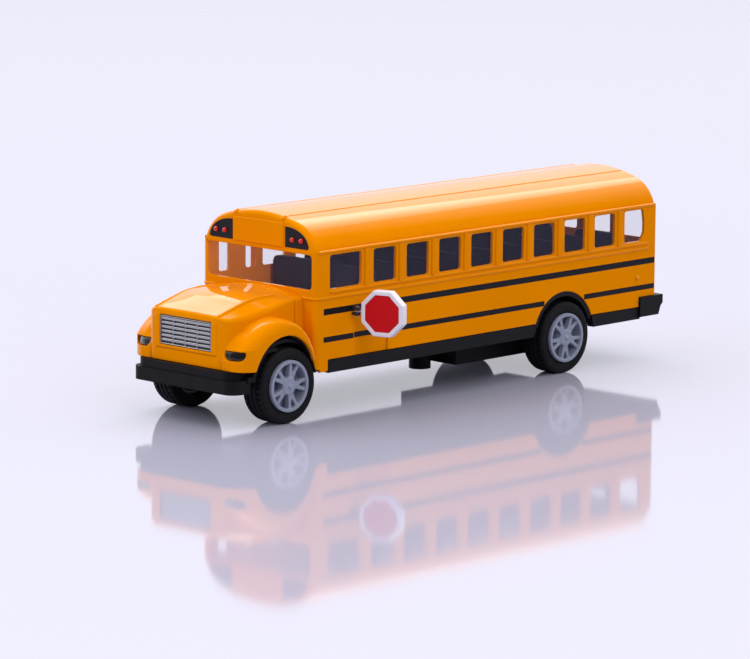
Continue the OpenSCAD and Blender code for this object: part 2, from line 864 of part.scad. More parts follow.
// Flat-topped outline of the left headlight, grown by a margin
module headlight_outline(grow) {
    across_y(fascia_y - overrun, front_axle_y) intersection() {
        round_rectangle([headlight_x - grow, headlight_z - headlight_h / 2 - grow],
                        [headlight_x + headlight_w + grow, headlight_z + 3 * headlight_h / 2],
                        headlight_h / 2 + grow);
        translate([headlight_x - grow, headlight_z - headlight_h / 2 - grow])
            square([headlight_w + 2 * grow, headlight_h + 2 * grow]);
    }
}

module headlight_pocket() {
    difference() {
        headlight_outline(seat_gap);
        fascia_outer(headlight_t + seat_gap);
    }
}

module headlight_lens() {
    color(lens_clear) intersection() {
        difference() {
            fascia_outer(seat_gap);
            fascia_outer(headlight_t);
        }
        headlight_outline(0);
    }
}

module headlight_left() {
    headlight_lens();
}

module headlight_right() {
    mirror([1, 0, 0]) headlight_lens();
}

// Outline of the dark panel beside the header board, drawn in by a margin
module lamp_panel_outline(margin) {
    low_z = drip_z + seat_gap;
    intersection() {
        cabin_section(lamp_panel_margin + margin, drip_z);
        translate([lamp_panel_inner_x + margin, low_z + margin])
            square([side_x, lamp_panel_h - 2 * margin]);
    }
}

module lamp_panel_cut() {
    across_y(cabin_front_y - overrun, cabin_front_y + lamp_panel_t - lamp_panel_proud)
        lamp_panel_outline(0);
}

module lamp_panels() {
    front_y = cabin_front_y - lamp_panel_proud;
    color(moulding_black) both_sides()
        across_y(front_y, front_y + lamp_panel_t - press_gap) lamp_panel_outline(press_gap);
}

module warning_lamps() {
    face_y = cabin_front_y - lamp_panel_proud;
    z = drip_z + lamp_rise;
    color(lamp_red) both_sides() for (i = [0, 1]) {
        x = lamp_inner_x + i * lamp_spacing;
        intersection() {
            union() {
                rod_y(lamp_d / 2, face_y - lamp_base_h, face_y, x, z);
                translate([x, face_y - lamp_base_h, z]) sphere(lamp_d / 2);
            }
            box([0, face_y - lamp_d, 0], [side_x, face_y, overall_h]);
        }
    }
}

// Wheels: the left wheel is drawn, and the right one is its mirror image

rim_face_x = tyre_outer_x + rim_proud;
rim_seat_r = rim_d / 2;
axle_end_x = rim_face_x - axle_end_inset;

module tyre(y) {
    color(moulding_black) across_x(tyre_inner_x, y, axle_z) rotate_extrude() difference() {
        bore_r = rim_seat_r + press_gap;
        union() {
            translate([bore_r, 0]) square([axle_z - tyre_shoulder_r - bore_r, tyre_w]);
            translate([bore_r, tyre_shoulder_r]) square([axle_z - bore_r, tyre_w - 2 * tyre_shoulder_r]);
            for (x = [tyre_shoulder_r, tyre_w - tyre_shoulder_r])
                translate([axle_z - tyre_shoulder_r, x]) circle(tyre_shoulder_r);
        }
        for (share = tread_groove_shares)
            translate([axle_z - tread_groove_depth, tyre_w * share - tread_groove_w / 2])
                square([tread_groove_depth + overrun, tread_groove_w]);
    }
}

// Flat outline of all the spokes: pairs that part on their way out from the hub
module spoke_outline() {
    for (i = [0:spoke_pairs - 1], lean = [-1, 1])
        rotate([0, 0, 90 + i * 360 / spoke_pairs + lean * spoke_spread])
            translate([0, -spoke_w / 2]) square([rim_seat_r - rim_ring_t / 2, spoke_w]);
}

// Outline that turns into the rim's ring, web and hub
module rim_section(rim_w) {
    bore_r = axle_d / 2 + press_gap;
    bore_l = axle_end_x - tyre_inner_x - face_gap + seat_gap;
    difference() {
        union() {
            translate([rim_seat_r - rim_ring_t, 0]) square([rim_ring_t, rim_w]);
            square([rim_seat_r - rim_ring_t / 2, rim_web_t]);
            square([hub_r, rim_w - hub_sink]);
            intersection() {
                translate([0, rim_w - hub_sink]) circle(hub_dome_r);
                square([hub_r, rim_w + hub_dome_r]);
            }
        }
        translate([-overrun, -overrun]) square([bore_r + overrun, bore_l + overrun]);
    }
}

module rim(y) {
    rim_w = rim_face_x - tyre_inner_x - face_gap;
    color(rim_grey) across_x(tyre_inner_x + face_gap, y, axle_z) {
        rotate_extrude() rim_section(rim_w);
        difference() {
            translate([0, 0, rim_w - hub_sink - spoke_t]) linear_extrude(spoke_t) spoke_outline();
            cylinder(r = hub_r * hub_core_share, h = rim_w);
        }
    }
}

module front_axle() {
    color(steel_grey) rod_x(axle_d / 2, -axle_end_x, axle_end_x, front_axle_y, axle_z);
}

module rear_axle() {
    color(steel_grey) rod_x(axle_d / 2, -axle_end_x, axle_end_x, rear_axle_y, axle_z);
}

module front_rim_left() {
    rim(front_axle_y);
}

module front_rim_right() {
    mirror([1, 0, 0]) rim(front_axle_y);
}

module front_tyre_left() {
    tyre(front_axle_y);
}

module front_tyre_right() {
    mirror([1, 0, 0]) tyre(front_axle_y);
}

module rear_rim_left() {
    rim(rear_axle_y);
}

module rear_rim_right() {
    mirror([1, 0, 0]) rim(rear_axle_y);
}

module rear_tyre_left() {
    tyre(rear_axle_y);
}

module rear_tyre_right() {
    mirror([1, 0, 0]) tyre(rear_axle_y);
}

// Pull-back motor: the rear axle drives the transfer gear, which winds the mainspring's gear

function pitch_r(teeth) = gear_module * teeth / 2;
function polar(r, angle) = [r * cos(angle), r * sin(angle)];
function involute_turn(a) = tan(a) * 180 / PI - a;

// Half the angle that a tooth takes up at radius r
function tooth_half(teeth, r) = let (
    base_r = pitch_r(teeth) * cos(pressure_angle),
    at_pitch = 90 / teeth - tooth_play / 2 / pitch_r(teeth) * 180 / PI
) at_pitch + involute_turn(pressure_angle) - (r > base_r ? involute_turn(acos(base_r / r)) : 0);

function flank_radii(teeth) = let (
    root_r = pitch_r(teeth) - gear_module * dedendum_share,
    tip_r = pitch_r(teeth) + gear_module * addendum_share
) [for (k = [0:flank_steps]) root_r + (tip_r - root_r) * k / flank_steps];

function gear_points(teeth) = let (radii = flank_radii(teeth)) [
    for (i = [0:teeth - 1])
        for (k = [-flank_steps - 1:flank_steps])
            let (r = k < 0 ? radii[flank_steps + 1 + k] : radii[flank_steps - k])
            polar(r, i * 360 / teeth + (k < 0 ? -1 : 1) * tooth_half(teeth, r))
];

module gear_blank(teeth, w, turn) {
    rotate([0, 0, turn]) linear_extrude(w) polygon(gear_points(teeth));
}

// Gear centres in the plane across X, and the turn of each gear that sets it in mesh
transfer_reach = pitch_r(drive_teeth) + pitch_r(transfer_teeth);
spring_reach = pitch_r(transfer_pinion_teeth) + pitch_r(spring_teeth);
transfer_dir = 180 - transfer_lean;
spring_dir = 180 - spring_lean;
transfer_y = rear_axle_y + transfer_reach * cos(transfer_dir);
transfer_z = axle_z + transfer_reach * sin(transfer_dir);
spring_y = transfer_y + spring_reach * cos(spring_dir);
spring_z = transfer_z + spring_reach * sin(spring_dir);

// Turn of a follower whose driver has a tooth at driver_turn, seen along dir from the driver
function mesh_turn(driver_teeth, driver_turn, teeth, dir) =
    dir + 180 + 180 / teeth - (driver_turn - dir) * driver_teeth / teeth;

transfer_turn = mesh_turn(drive_teeth, 0, transfer_teeth, transfer_dir);
spring_turn = mesh_turn(transfer_pinion_teeth, transfer_turn, spring_teeth, spring_dir);
pinion_low_x = gear_plane_x - transfer_pinion_w;
spring_gear_x = pinion_low_x + (transfer_pinion_w - gear_w) / 2 - running_gap;
arbor_l = spring_gear_x + motor_w / 2 - 2 * motor_wall_t - face_gap;
spring_strip_w = arbor_l - 2 * face_gap;

module drive_pinion() {
    color(gear_white) difference() {
        across_x(gear_plane_x, rear_axle_y, axle_z) gear_blank(drive_teeth, gear_w, 0);
        rod_x(axle_d / 2 + press_gap, 0, motor_w, rear_axle_y, axle_z);
    }
}

module transfer_gear() {
    color(gear_white) difference() {
        union() {
            across_x(gear_plane_x, transfer_y, transfer_z)
                gear_blank(transfer_teeth, gear_w, transfer_turn);
            across_x(pinion_low_x, transfer_y, transfer_z)
                gear_blank(transfer_pinion_teeth, transfer_pinion_w + gear_w / 2, transfer_turn);
        }
        rod_x(pin_r + running_gap, -motor_w, motor_w, transfer_y, transfer_z);
    }
}

module spring_gear() {
    color(gear_white) difference() {
        union() {
            across_x(spring_gear_x, spring_y, spring_z) gear_blank(spring_teeth, gear_w, spring_turn);
            rod_x(arbor_r, spring_gear_x - arbor_l, spring_gear_x + gear_w / 2, spring_y, spring_z);
        }
        rod_x(pin_r + running_gap, -motor_w, motor_w, spring_y, spring_z);
    }
}

module transfer_pin() {
    half = motor_w / 2 - face_gap;
    color(steel_grey) rod_x(pin_r, -half, half, transfer_y, transfer_z);
}

module spring_pin() {
    half = motor_w / 2 - face_gap;
    color(steel_grey) rod_x(pin_r, -half, half, spring_y, spring_z);
}

module mainspring() {
    inner_r = arbor_r + face_gap;
    steps = spring_turns * spring_points;
    inside = [for (i = [0:steps])
        polar(inner_r + spring_pitch * i / spring_points, i * 360 / spring_points)];
    outside = [for (i = [steps:-1:0])
        polar(inner_r + spring_strip_t + spring_pitch * i / spring_points, i * 360 / spring_points)];
    color(spring_blue) across_x(spring_gear_x - face_gap - spring_strip_w, spring_y, spring_z)
        linear_extrude(spring_strip_w) polygon(concat(inside, outside));
}

// Left half of the motor case; the right half is its mirror image
module motor_half() {
    half_w = motor_w / 2;
    high_z = motor_z + motor_h;
    lug_z = floor_z + floor_t;
    difference() {
        union() {
            difference() {
                box([0, motor_front_y, motor_z], [half_w, motor_back_y, high_z]);
                box([-overrun, motor_front_y + motor_wall_t, motor_z + motor_wall_t],
                    [half_w - motor_wall_t, motor_back_y - motor_wall_t, high_z - motor_wall_t]);
            }
            box([half_w - motor_wall_t, motor_lug_y - motor_lug_l / 2, lug_z],
                [half_w + motor_lug_w, motor_lug_y + motor_lug_l / 2, lug_z + motor_lug_t]);
            rod_x(pin_boss_r, half_w - 2 * motor_wall_t, half_w, transfer_y, transfer_z);
            rod_x(pin_boss_r, half_w - 2 * motor_wall_t, half_w, spring_y, spring_z);
        }
        rod_x(axle_d / 2 + running_gap, 0, half_w + overrun, rear_axle_y, axle_z);
        rod_x(pin_r + press_gap, 0, half_w + overrun, transfer_y, transfer_z);
        rod_x(pin_r + press_gap, 0, half_w + overrun, spring_y, spring_z);
        rod_z(motor_screw_r + press_gap, lug_z - overrun, lug_z + motor_lug_t + overrun,
              half_w + motor_lug_w / 2, motor_lug_y);
    }
}

module motor_case_left() {
    color(moulding_black) motor_half();
}

module motor_case_right() {
    color(moulding_black) mirror([1, 0, 0]) motor_half();
}

module motor_screws() {
    seat_z = floor_z + floor_t + motor_lug_t;
    color(steel_grey) both_sides() translate([(motor_w + motor_lug_w) / 2, motor_lug_y, seat_z])
        rotate([180, 0, 0])
            screw(0, 0, 0, motor_screw_r, motor_screw_l, motor_screw_head_r, motor_screw_head_h);
}

// Stop sign: it swings about an upright pin in a small bracket on the left side
hinge_x = side_x + hinge_standoff;
ear_low_z = hinge_z - knuckle_h / 2 - ear_gap - ear_t;
ear_high_z = hinge_z + knuckle_h / 2 + ear_gap + ear_t;

module stop_bracket_hole() {
    box([inner_x - overrun, hinge_y - bracket_plug_w / 2 - press_gap, ear_low_z - press_gap],
        [side_x + overrun, hinge_y + bracket_plug_w / 2 + press_gap, ear_high_z + press_gap]);
}

module stop_bracket() {
    color(moulding_black) difference() {
        union() {
            box([side_x - bracket_plug_l, hinge_y - bracket_plug_w / 2, ear_low_z],
                [side_x + hinge_standoff - knuckle_r - ear_gap, hinge_y + bracket_plug_w / 2, ear_high_z]);
            for (z = [ear_low_z, ear_high_z - ear_t]) {
                box([side_x, hinge_y - bracket_plug_w / 2, z],
                    [hinge_x, hinge_y + bracket_plug_w / 2, z + ear_t]);
                rod_z(ear_r, z, z + ear_t, hinge_x, hinge_y);
            }
        }
        rod_z(hinge_pin_r + press_gap, ear_low_z - overrun, ear_high_z + overrun, hinge_x, hinge_y);
    }
}

module stop_hinge_pin() {
    color(steel_grey) rod_z(hinge_pin_r, ear_low_z, ear_high_z, hinge_x, hinge_y);
}

// Puts the sign, drawn along X from its hinge, at its open angle
module at_hinge() {
    translate([hinge_x, hinge_y, hinge_z]) rotate([0, 0, sign_open_angle]) children();
}

module octagon_plate(w, y0, y1) {
    centre_x = sign_edge_x + sign_w / 2;
    corner_r = w / 2 / cos(180 / sign_flat_sides);
    translate([centre_x, y1, 0]) rotate([90, 0, 0]) rotate([0, 0, 180 / sign_flat_sides])
        cylinder(r = corner_r, h = y1 - y0, $fn = sign_flat_sides);
}

sign_front_y = -sign_t * sign_front_share;

module stop_board() {
    color(sign_white) at_hinge() difference() {
        union() {
            octagon_plate(sign_w, sign_front_y, sign_front_y + sign_t);
            cylinder(r = knuckle_r, h = knuckle_h, center = true);
            translate([0, -knuckle_r, -knuckle_h / 2])
                cube([sign_edge_x + knuckle_r, knuckle_r + knuckle_r / 2, knuckle_h]);
            translate([tab_start, -knuckle_r, -tab_h / 2])
                cube([sign_edge_x, knuckle_r + knuckle_r / 2, tab_h]);
        }
        octagon_plate(sign_face_w + 2 * press_gap, sign_front_y - overrun, sign_front_y + sign_pocket);
        cylinder(r = hinge_pin_r + running_gap, h = 2 * tab_h, center = true);
    }
}

module stop_face() {
    color(lamp_red) at_hinge()
        octagon_plate(sign_face_w, sign_front_y + sign_pocket - sign_face_t, sign_front_y + sign_pocket);
}

body_shell();
window_glazing();
seat_moulding();
chassis_base();
grille();
headlight_left();
headlight_right();
lamp_panels();
warning_lamps();
chassis_screws();
front_axle();
front_rim_left();
front_rim_right();
front_tyre_left();
front_tyre_right();
rear_axle();
rear_rim_left();
rear_rim_right();
rear_tyre_left();
rear_tyre_right();
drive_pinion();
motor_case_left();
motor_case_right();
motor_screws();
mainspring();
spring_gear();
spring_pin();
transfer_gear();
transfer_pin();
stop_bracket();
stop_hinge_pin();
stop_board();
stop_face();
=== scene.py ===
"""Toy school bus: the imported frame, dressed with painted, moulded and plated surfaces."""
import cmath
import json
import math

import bpy
import numpy as np
from mathutils import Matrix, Vector
from mathutils.geometry import tessellate_polygon


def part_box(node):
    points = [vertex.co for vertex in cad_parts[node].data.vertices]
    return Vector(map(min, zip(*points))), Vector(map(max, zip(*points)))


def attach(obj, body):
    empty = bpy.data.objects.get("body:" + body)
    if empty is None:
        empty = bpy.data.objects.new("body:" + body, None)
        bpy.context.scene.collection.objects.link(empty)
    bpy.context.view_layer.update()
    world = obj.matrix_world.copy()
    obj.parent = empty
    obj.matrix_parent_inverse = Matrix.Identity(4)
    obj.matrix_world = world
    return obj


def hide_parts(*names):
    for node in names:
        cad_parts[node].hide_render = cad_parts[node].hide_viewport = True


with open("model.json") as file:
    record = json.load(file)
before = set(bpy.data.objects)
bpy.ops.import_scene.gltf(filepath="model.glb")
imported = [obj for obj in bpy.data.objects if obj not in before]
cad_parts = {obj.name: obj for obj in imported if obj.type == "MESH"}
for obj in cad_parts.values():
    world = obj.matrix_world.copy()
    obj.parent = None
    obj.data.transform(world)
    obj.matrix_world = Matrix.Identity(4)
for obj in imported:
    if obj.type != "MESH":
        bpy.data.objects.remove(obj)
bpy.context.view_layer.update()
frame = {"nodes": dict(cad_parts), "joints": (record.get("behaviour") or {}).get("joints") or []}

MM = 0.001


def corners(node):
    """Lowest and highest corner of a node, in millimetres."""
    low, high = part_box(node)
    return np.array(low) / MM, np.array(high) / MM


def middle(node):
    low, high = corners(node)
    return (low + high) / 2


# Places from the frame, in millimetres; the front of the bus points along -Y
AXLE_Y, AXLE_Z = middle("front_axle")[1:]
REAR_AXLE_Y = middle("rear_axle")[1]
CAD_RAIL, DRIP_R = 0.55, 0.4
SIDE_X = corners("body_shell")[1][0] - CAD_RAIL
WALL_REAR = corners("body_shell")[1][1]
WALL_FRONT = AXLE_Y + 8.6
REAR_END = corners("chassis_base")[1][1]

# Cabin
WALL_T = 0.75
EDGE_Z = 13.7
POST_Z, POST_L = 10.95, 4.2
DRIP_Z = 39.3
FRONT_CORNER_R, REAR_CORNER_R = 1.35, 0.7
FRONT_EDGE_R, REAR_EDGE_R = 1.3, 1.0
SILL_Z, WINDOW_H = 30.45, 8.0
WINDOW_W, WINDOW_PITCH, WINDOW_COUNT = 7.6, 11.38, 9
WINDOW_ROW, DRIVER_WINDOW, DRIVER_WINDOW_W = 19.5, 4.7, 10.6
DOOR_PANE_W, DOOR_PANE_PITCH = 3.4, 9.0
WINDOW_R = 0.7
PANE_DEPTH, PANE_T, PANE_EDGE = 0.22, 0.5, 0.25
LINING_INSET = 0.2
EDGE_BEVEL = 0.16
HAUNCH_R, HAUNCH_Z, CROWN_Z = 9.6, 36.6, 47.7
HAUNCH_X = SIDE_X - HAUNCH_R
CROWN_RISE = CROWN_Z - HAUNCH_Z
CROWN_R = (HAUNCH_X ** 2 + CROWN_RISE ** 2 - HAUNCH_R ** 2) / (2 * (CROWN_RISE - HAUNCH_R))
STRIPES, STRIPE_START, STRIPE_PROUD, STRIPE_T = ((24.4, 25.9), (17.9, 19.2)), 2.6, 0.03, 0.06
REAR_ARCH_R = 11.2
REAR_ARCH_Y, REAR_ARCH_Z = REAR_AXLE_Y - 1.0, AXLE_Z + 0.5
REAR_ARCH_TILT = math.asin((EDGE_Z - REAR_ARCH_Z) / REAR_ARCH_R)
BUMPER_WRAP_L, BUMPER_TOP_Z = 8.7, 16.1
GAP, SINK = 0.1, 0.1


class Shape:
    """Points with their normals and the faces between them, in millimetres."""

    def __init__(self):
        self.points = []
        self.normals = []
        self.faces = []

    def add(self, points, normals):
        start = len(self.points)
        self.points += [tuple(map(float, p)) for p in points]
        self.normals += [tuple(map(float, n)) for n in normals]
        return list(range(start, len(self.points)))

    def face(self, indices):
        """Adds a face, leaving out corners that lie on the one before."""
        kept = []
        for i in indices:
            if not kept or math.dist(self.points[i], self.points[kept[-1]]) > 1e-6:
                kept.append(i)
        if len(kept) > 2 and math.dist(self.points[kept[0]], self.points[kept[-1]]) <= 1e-6:
            kept.pop()
        if len(kept) > 2:
            self.faces.append(tuple(kept))

    def rows(self, rows, closed):
        """Joins rows of (points, normals) into one surface."""
        made = [self.add(points, normals) for points, normals in rows]
        for row, other in zip(made, made[1:]):
            for i in range(len(row) if closed else len(row) - 1):
                j = (i + 1) % len(row)
                self.face((row[i], row[j], other[j], other[i]))

    def join(self, other, matrix):
        """Takes in another shape, moved by a matrix."""
        turn, shift = np.array(matrix)[:3, :3], np.array(matrix)[:3, 3]
        start = len(self.points)
        self.add(np.array(other.points) @ turn.T + shift, np.array(other.normals) @ turn.T)
        self.faces += [tuple(i + start for i in face) for face in other.faces]

    def moved(self, matrix):
        copy = Shape()
        copy.join(self, matrix)
        return copy

    def outward_faces(self):
        """Faces in the order that makes each one look along its points' normals."""
        points, normals = np.array(self.points), np.array(self.normals)
        turned = []
        for size in (3, 4):
            faces = np.array([face for face in self.faces if len(face) == size], int).reshape(-1, size)
            corner = points[faces]
            look = np.cross(corner[:, 1] - corner[:, 0], corner[:, 2] - corner[:, 0])
            if size == 4:
                look = look + np.cross(corner[:, 2] - corner[:, 0], corner[:, 3] - corner[:, 0])
            flip = (look * normals[faces].sum(axis=1)).sum(axis=1) < 0
            faces[flip] = faces[flip][:, ::-1]
            turned += faces.tolist()
        return turned


def new_object(name, data):
    obj = bpy.data.objects.new(name, data)
    bpy.context.scene.collection.objects.link(obj)
    return obj


def piece(name, shape, body, material, replaces=(), sharp=None):
    """Makes a visible piece of a shape. Without a sharp angle, the shape's own normals shade it."""
    mesh = bpy.data.meshes.new(name)
    mesh.from_pydata([tuple(c * MM for c in p) for p in shape.points], [], shape.outward_faces())
    mesh.polygons.foreach_set("use_smooth", [True] * len(mesh.polygons))
    if sharp is None:
        mesh.normals_split_custom_set_from_vertices(shape.normals)
    else:
        mesh.set_sharp_from_angle(angle=math.radians(sharp))
    mesh.materials.append(material)
    obj = new_object(name, mesh)
    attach(obj, body)
    if replaces:
        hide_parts(*replaces)
    return obj


# Flat outlines and the plates, beads and turned forms made from them

def quarter(steps):
    """Angles from zero to a quarter turn."""
    return [math.pi / 2 * k / steps for k in range(steps + 1)]


def round_path(places, steps=6):
    """Closed outline through (x, y, radius) corners, with an arc at each corner that has a radius."""
    points = [complex(x, y) for x, y, _ in places]
    path = []
    for i, (p, (_, _, r)) in enumerate(zip(points, places)):
        if r <= 0:
            path.append(p)
            continue
        before, after = p - points[i - 1], points[(i + 1) % len(points)] - p
        before /= abs(before)
        turn = cmath.phase(after / before)
        arm = 1j * before * math.copysign(r, turn)
        centre = p - before * r * math.tan(abs(turn) / 2) + arm
        path += [centre - arm * cmath.exp(1j * turn * k / steps) for k in range(steps + 1)]
    return [np.array((p.real, p.imag)) for p in path]


def rounded_box(low, high, r, steps=6):
    (x0, y0), (x1, y1) = low, high
    return round_path([(x0, y0, r), (x1, y0, r), (x1, y1, r), (x0, y1, r)], steps)


def path_normals(path):
    """Normals to the right of a closed path's direction."""
    p = np.array(path)
    ahead = np.roll(p, -1, axis=0) - p
    ahead /= np.linalg.norm(ahead, axis=1, keepdims=True)
    both = ahead + np.roll(ahead, 1, axis=0)
    both /= np.linalg.norm(both, axis=1, keepdims=True)
    return np.stack((both[:, 1], -both[:, 0]), axis=1)


class Plane:
    """An upright plane: its origin, its level direction and the way that it faces."""

    def __init__(self, origin, across, out):
        self.origin = np.array(origin, float)
        self.axes = np.array((across, (0, 0, 1), out), float)

    def normals(self, flat, out):
        return np.column_stack((flat, np.broadcast_to(out, (len(flat),)))) @ self.axes

    def points(self, flat, depth):
        return self.origin + self.normals(flat, depth)


def left_plane(x):
    return Plane((x, 0, 0), (0, 1, 0), (1, 0, 0))


def right_plane(x):
    return Plane((-x, 0, 0), (0, 1, 0), (-1, 0, 0))


def front_plane(y):
    return Plane((0, y, 0), (1, 0, 0), (0, -1, 0))


def rear_plane(y):
    return Plane((0, y, 0), (1, 0, 0), (0, 1, 0))


def plate(shape, plane, outline, thick, bevel=0.0, holes=(), hole_bevel=EDGE_BEVEL, steps=4):
    """Plate with rounded edges: bevel is one width, or one for each point of the outline."""
    loops = [(np.array(outline), np.broadcast_to(bevel, (len(outline),)))]
    loops += [(np.array(hole[::-1]), np.full(len(hole), hole_bevel)) for hole in holes]
    caps, backs = [], []
    for path, width in loops:
        out = path_normals(path)
        rings = []
        for a in quarter(steps):
            flat = path - out * (width * (1 - math.sin(a)))[:, None]
            rings.append((plane.points(flat, -width * (1 - math.cos(a))),
                          plane.normals(out * math.sin(a), math.cos(a))))
        rings.append((plane.points(path, -thick), plane.normals(out, 0)))
        shape.rows(rings, True)
        caps.append(path - out * width[:, None])
        backs.append(path)
    for cap, depth, look in ((caps, 0, 1), (backs, -thick, -1)):
        flat = np.concatenate(cap)
        made = shape.add(plane.points(flat, depth), plane.normals(np.zeros((len(flat), 2)), look))
        for tri in tessellate_polygon([[Vector((*p, 0)) for p in loop] for loop in cap]):
            shape.face([made[i] for i in tri])


def turned(shape, origin, axis, profile, steps=48):
    """Surface turned about an axis: profile holds (along, radius, along normal, radial normal)."""
    axis = np.array(axis, float) / np.linalg.norm(axis)
    u = np.cross(axis, (0, 0, 1) if abs(axis[2]) < 0.9 else (1, 0, 0))
    u /= np.linalg.norm(u)
    v = np.cross(axis, u)
    turns = [2 * math.pi * k / steps for k in range(steps)]
    rays = [u * math.cos(a) + v * math.sin(a) for a in turns]
    shape.rows([([np.array(origin) + axis * along + ray * radius for ray in rays],
                 [axis * n_along + ray * n_radial for ray in rays])
                for along, radius, n_along, n_radial in profile], True)


def dome(start, height, radius, steps):
    """Profile of a rounded end that starts at a place along its axis."""
    return [(start + height * math.sin(a), radius * math.cos(a), math.sin(a), math.cos(a))
            for a in quarter(steps)]


def bead(shape, start, end, r, steps=14, rings=5):
    """Round bar with half-round ends."""
    length = math.dist(start, end)
    profile = [(-r * math.cos(a), r * math.sin(a), -math.cos(a), math.sin(a)) for a in quarter(rings)]
    profile += [(length - along, radius, -n, m) for along, radius, n, m in reversed(profile)]
    turned(shape, start, np.array(end) - np.array(start), profile, steps)


SIDES = (("left", Matrix.Identity(4)), ("right", Matrix.Scale(-1, 4, (1, 0, 0))))


def both_sides(build):
    """Builds on the left side, and again as a mirror image on the right."""
    half, whole = Shape(), Shape()
    build(half)
    for _, mirror in SIDES:
        whole.join(half, mirror)
    return whole


# Rounded solids as distance fields, in millimetres

def round_both(a, b, r):
    """Where both fields are inside, with a round edge."""
    return np.minimum(np.maximum(a, b), -r) + np.hypot(np.maximum(a + r, 0), np.maximum(b + r, 0))


def round_either(a, b, r):
    """Where one of the fields is inside, with a round inner corner."""
    return -round_both(-a, -b, r)


def field_shape(field, low, high, step):
    """Surface of a distance field: one point per crossed cell, moved on to the surface."""
    axes = [np.arange(a, b + step, step) for a, b in zip(low, high)]
    value = field(*np.meshgrid(*axes, indexing="ij"))
    cells = tuple(n - 1 for n in value.shape)
    total = np.zeros(cells + (3,))
    count = np.zeros(cells, int)
    quads = []
    for axis in range(3):
        v0, v1 = np.delete(value, -1, axis), np.delete(value, 0, axis)
        crossed = (v0 < 0) != (v1 < 0)
        share = np.where(crossed, v0 / np.where(crossed, v0 - v1, 1), 0)
        places = np.stack(np.indices(crossed.shape), -1).astype(float)
        places[..., axis] += share
        others = [k for k in range(3) if k != axis]
        for corner in np.ndindex(2, 2):
            part = [slice(None)] * 3
            for k, start in zip(others, corner):
                part[k] = slice(start, start + cells[k])
            mask = crossed[tuple(part)]
            total += np.where(mask[..., None], places[tuple(part)], 0)
            count += mask
        quads.append((others, np.argwhere(crossed)))
    index = np.full(cells, -1)
    active = count > 0
    index[active] = np.arange(active.sum())
    points = total[active] / count[active][:, None] * step + np.array(low)

    def slope(p, h=0.04):
        g = [field(*(p + h * e).T) - field(*(p - h * e).T) for e in np.eye(3)]
        return np.stack(g, 1) / (2 * h)

    for _ in range(3):
        g = slope(points)
        move = -field(*points.T)[:, None] * g / np.maximum((g * g).sum(1, keepdims=True), 0.2)
        far = np.linalg.norm(move, axis=1, keepdims=True)
        points = points + move * np.minimum(1, step / np.maximum(far, 1e-9))
    normals = slope(points)
    normals /= np.linalg.norm(normals, axis=1, keepdims=True)
    shape = Shape()
    shape.add(points, normals)
    for others, edges in quads:
        kept = np.ones(len(edges), bool)
        for k in others:
            kept &= (edges[:, k] >= 1) & (edges[:, k] < cells[k])
        around = []
        for corner in ((1, 1), (0, 1), (0, 0), (1, 0)):
            cell = edges[kept].copy()
            cell[:, others] -= corner
            around.append(index[tuple(cell.T)])
        shape.faces += list(map(tuple, np.stack(around, 1).tolist()))
    return shape


# Materials

def srgb(r, g, b):
    """Linear colour of an sRGB colour given from 0 to 255."""
    return [((c / 255 + 0.055) / 1.055) ** 2.4 if c > 10 else c / 255 / 12.92 for c in (r, g, b)]


def set_inputs(node, values):
    """Sets a node's inputs; their names have _ for a space."""
    for name, value in values.items():
        node.inputs[name.replace("_", " ")].default_value = value


def add_node(tree, kind, **values):
    node = tree.nodes.new("ShaderNode" + kind)
    set_inputs(node, values)
    return node


def link(tree, start, output, end, name):
    tree.links.new(start.outputs[output], end.inputs[name])


def set_ramp(ramp, places, colours):
    for stop, place, colour in zip(ramp.color_ramp.elements, places, colours):
        stop.position, stop.color = place, colour


BROAD_SHARE, BUMP_HEIGHT, LEAST_ROUGH = 1 / 20, 0.0002, 0.02


def material(name, colour, roughness, vary=0.05, grain=2500.0, bump=0.02, rough_vary=0.08,
             specular=0.5, **inputs):
    """Surface of an sRGB colour. Its colour, gloss and height vary a little with fine noise."""
    mat = bpy.data.materials.new(name)
    mat.use_nodes = True
    tree = mat.node_tree
    shader = tree.nodes["Principled BSDF"]
    place = add_node(tree, "TexCoord")
    broad = add_node(tree, "TexNoise", Scale=grain * BROAD_SHARE, Detail=3)
    fine = add_node(tree, "TexNoise", Scale=grain, Detail=2)
    for noise in (broad, fine):
        link(tree, place, "Object", noise, "Vector")
    tint = add_node(tree, "ValToRGB")
    shades = [[min(c * share, 1) for c in srgb(*colour)] + [1.0] for share in (1 - vary, 1 + vary)]
    set_ramp(tint, (0.3, 0.7), shades)
    link(tree, broad, "Fac", tint, "Fac")
    link(tree, tint, "Color", shader, "Base Color")
    gloss = add_node(tree, "MapRange", To_Min=max(roughness - rough_vary, LEAST_ROUGH),
                     To_Max=roughness + rough_vary)
    link(tree, fine, "Fac", gloss, "Value")
    link(tree, gloss, "Result", shader, "Roughness")
    height = add_node(tree, "Bump", Strength=bump, Distance=BUMP_HEIGHT)
    link(tree, fine, "Fac", height, "Height")
    link(tree, height, "Normal", shader, "Normal")
    set_inputs(shader, {"Specular_IOR_Level": specular, **inputs})
    return mat


def grazing_coat(mat):
    """Clear coat that shows only where the surface is seen at a slant."""
    tree = mat.node_tree
    slant = add_node(tree, "LayerWeight")
    weight = add_node(tree, "MapRange", From_Min=0.36, From_Max=0.6)
    link(tree, slant, "Facing", weight, "Value")
    link(tree, weight, "Result", tree.nodes["Principled BSDF"], "Coat Weight")


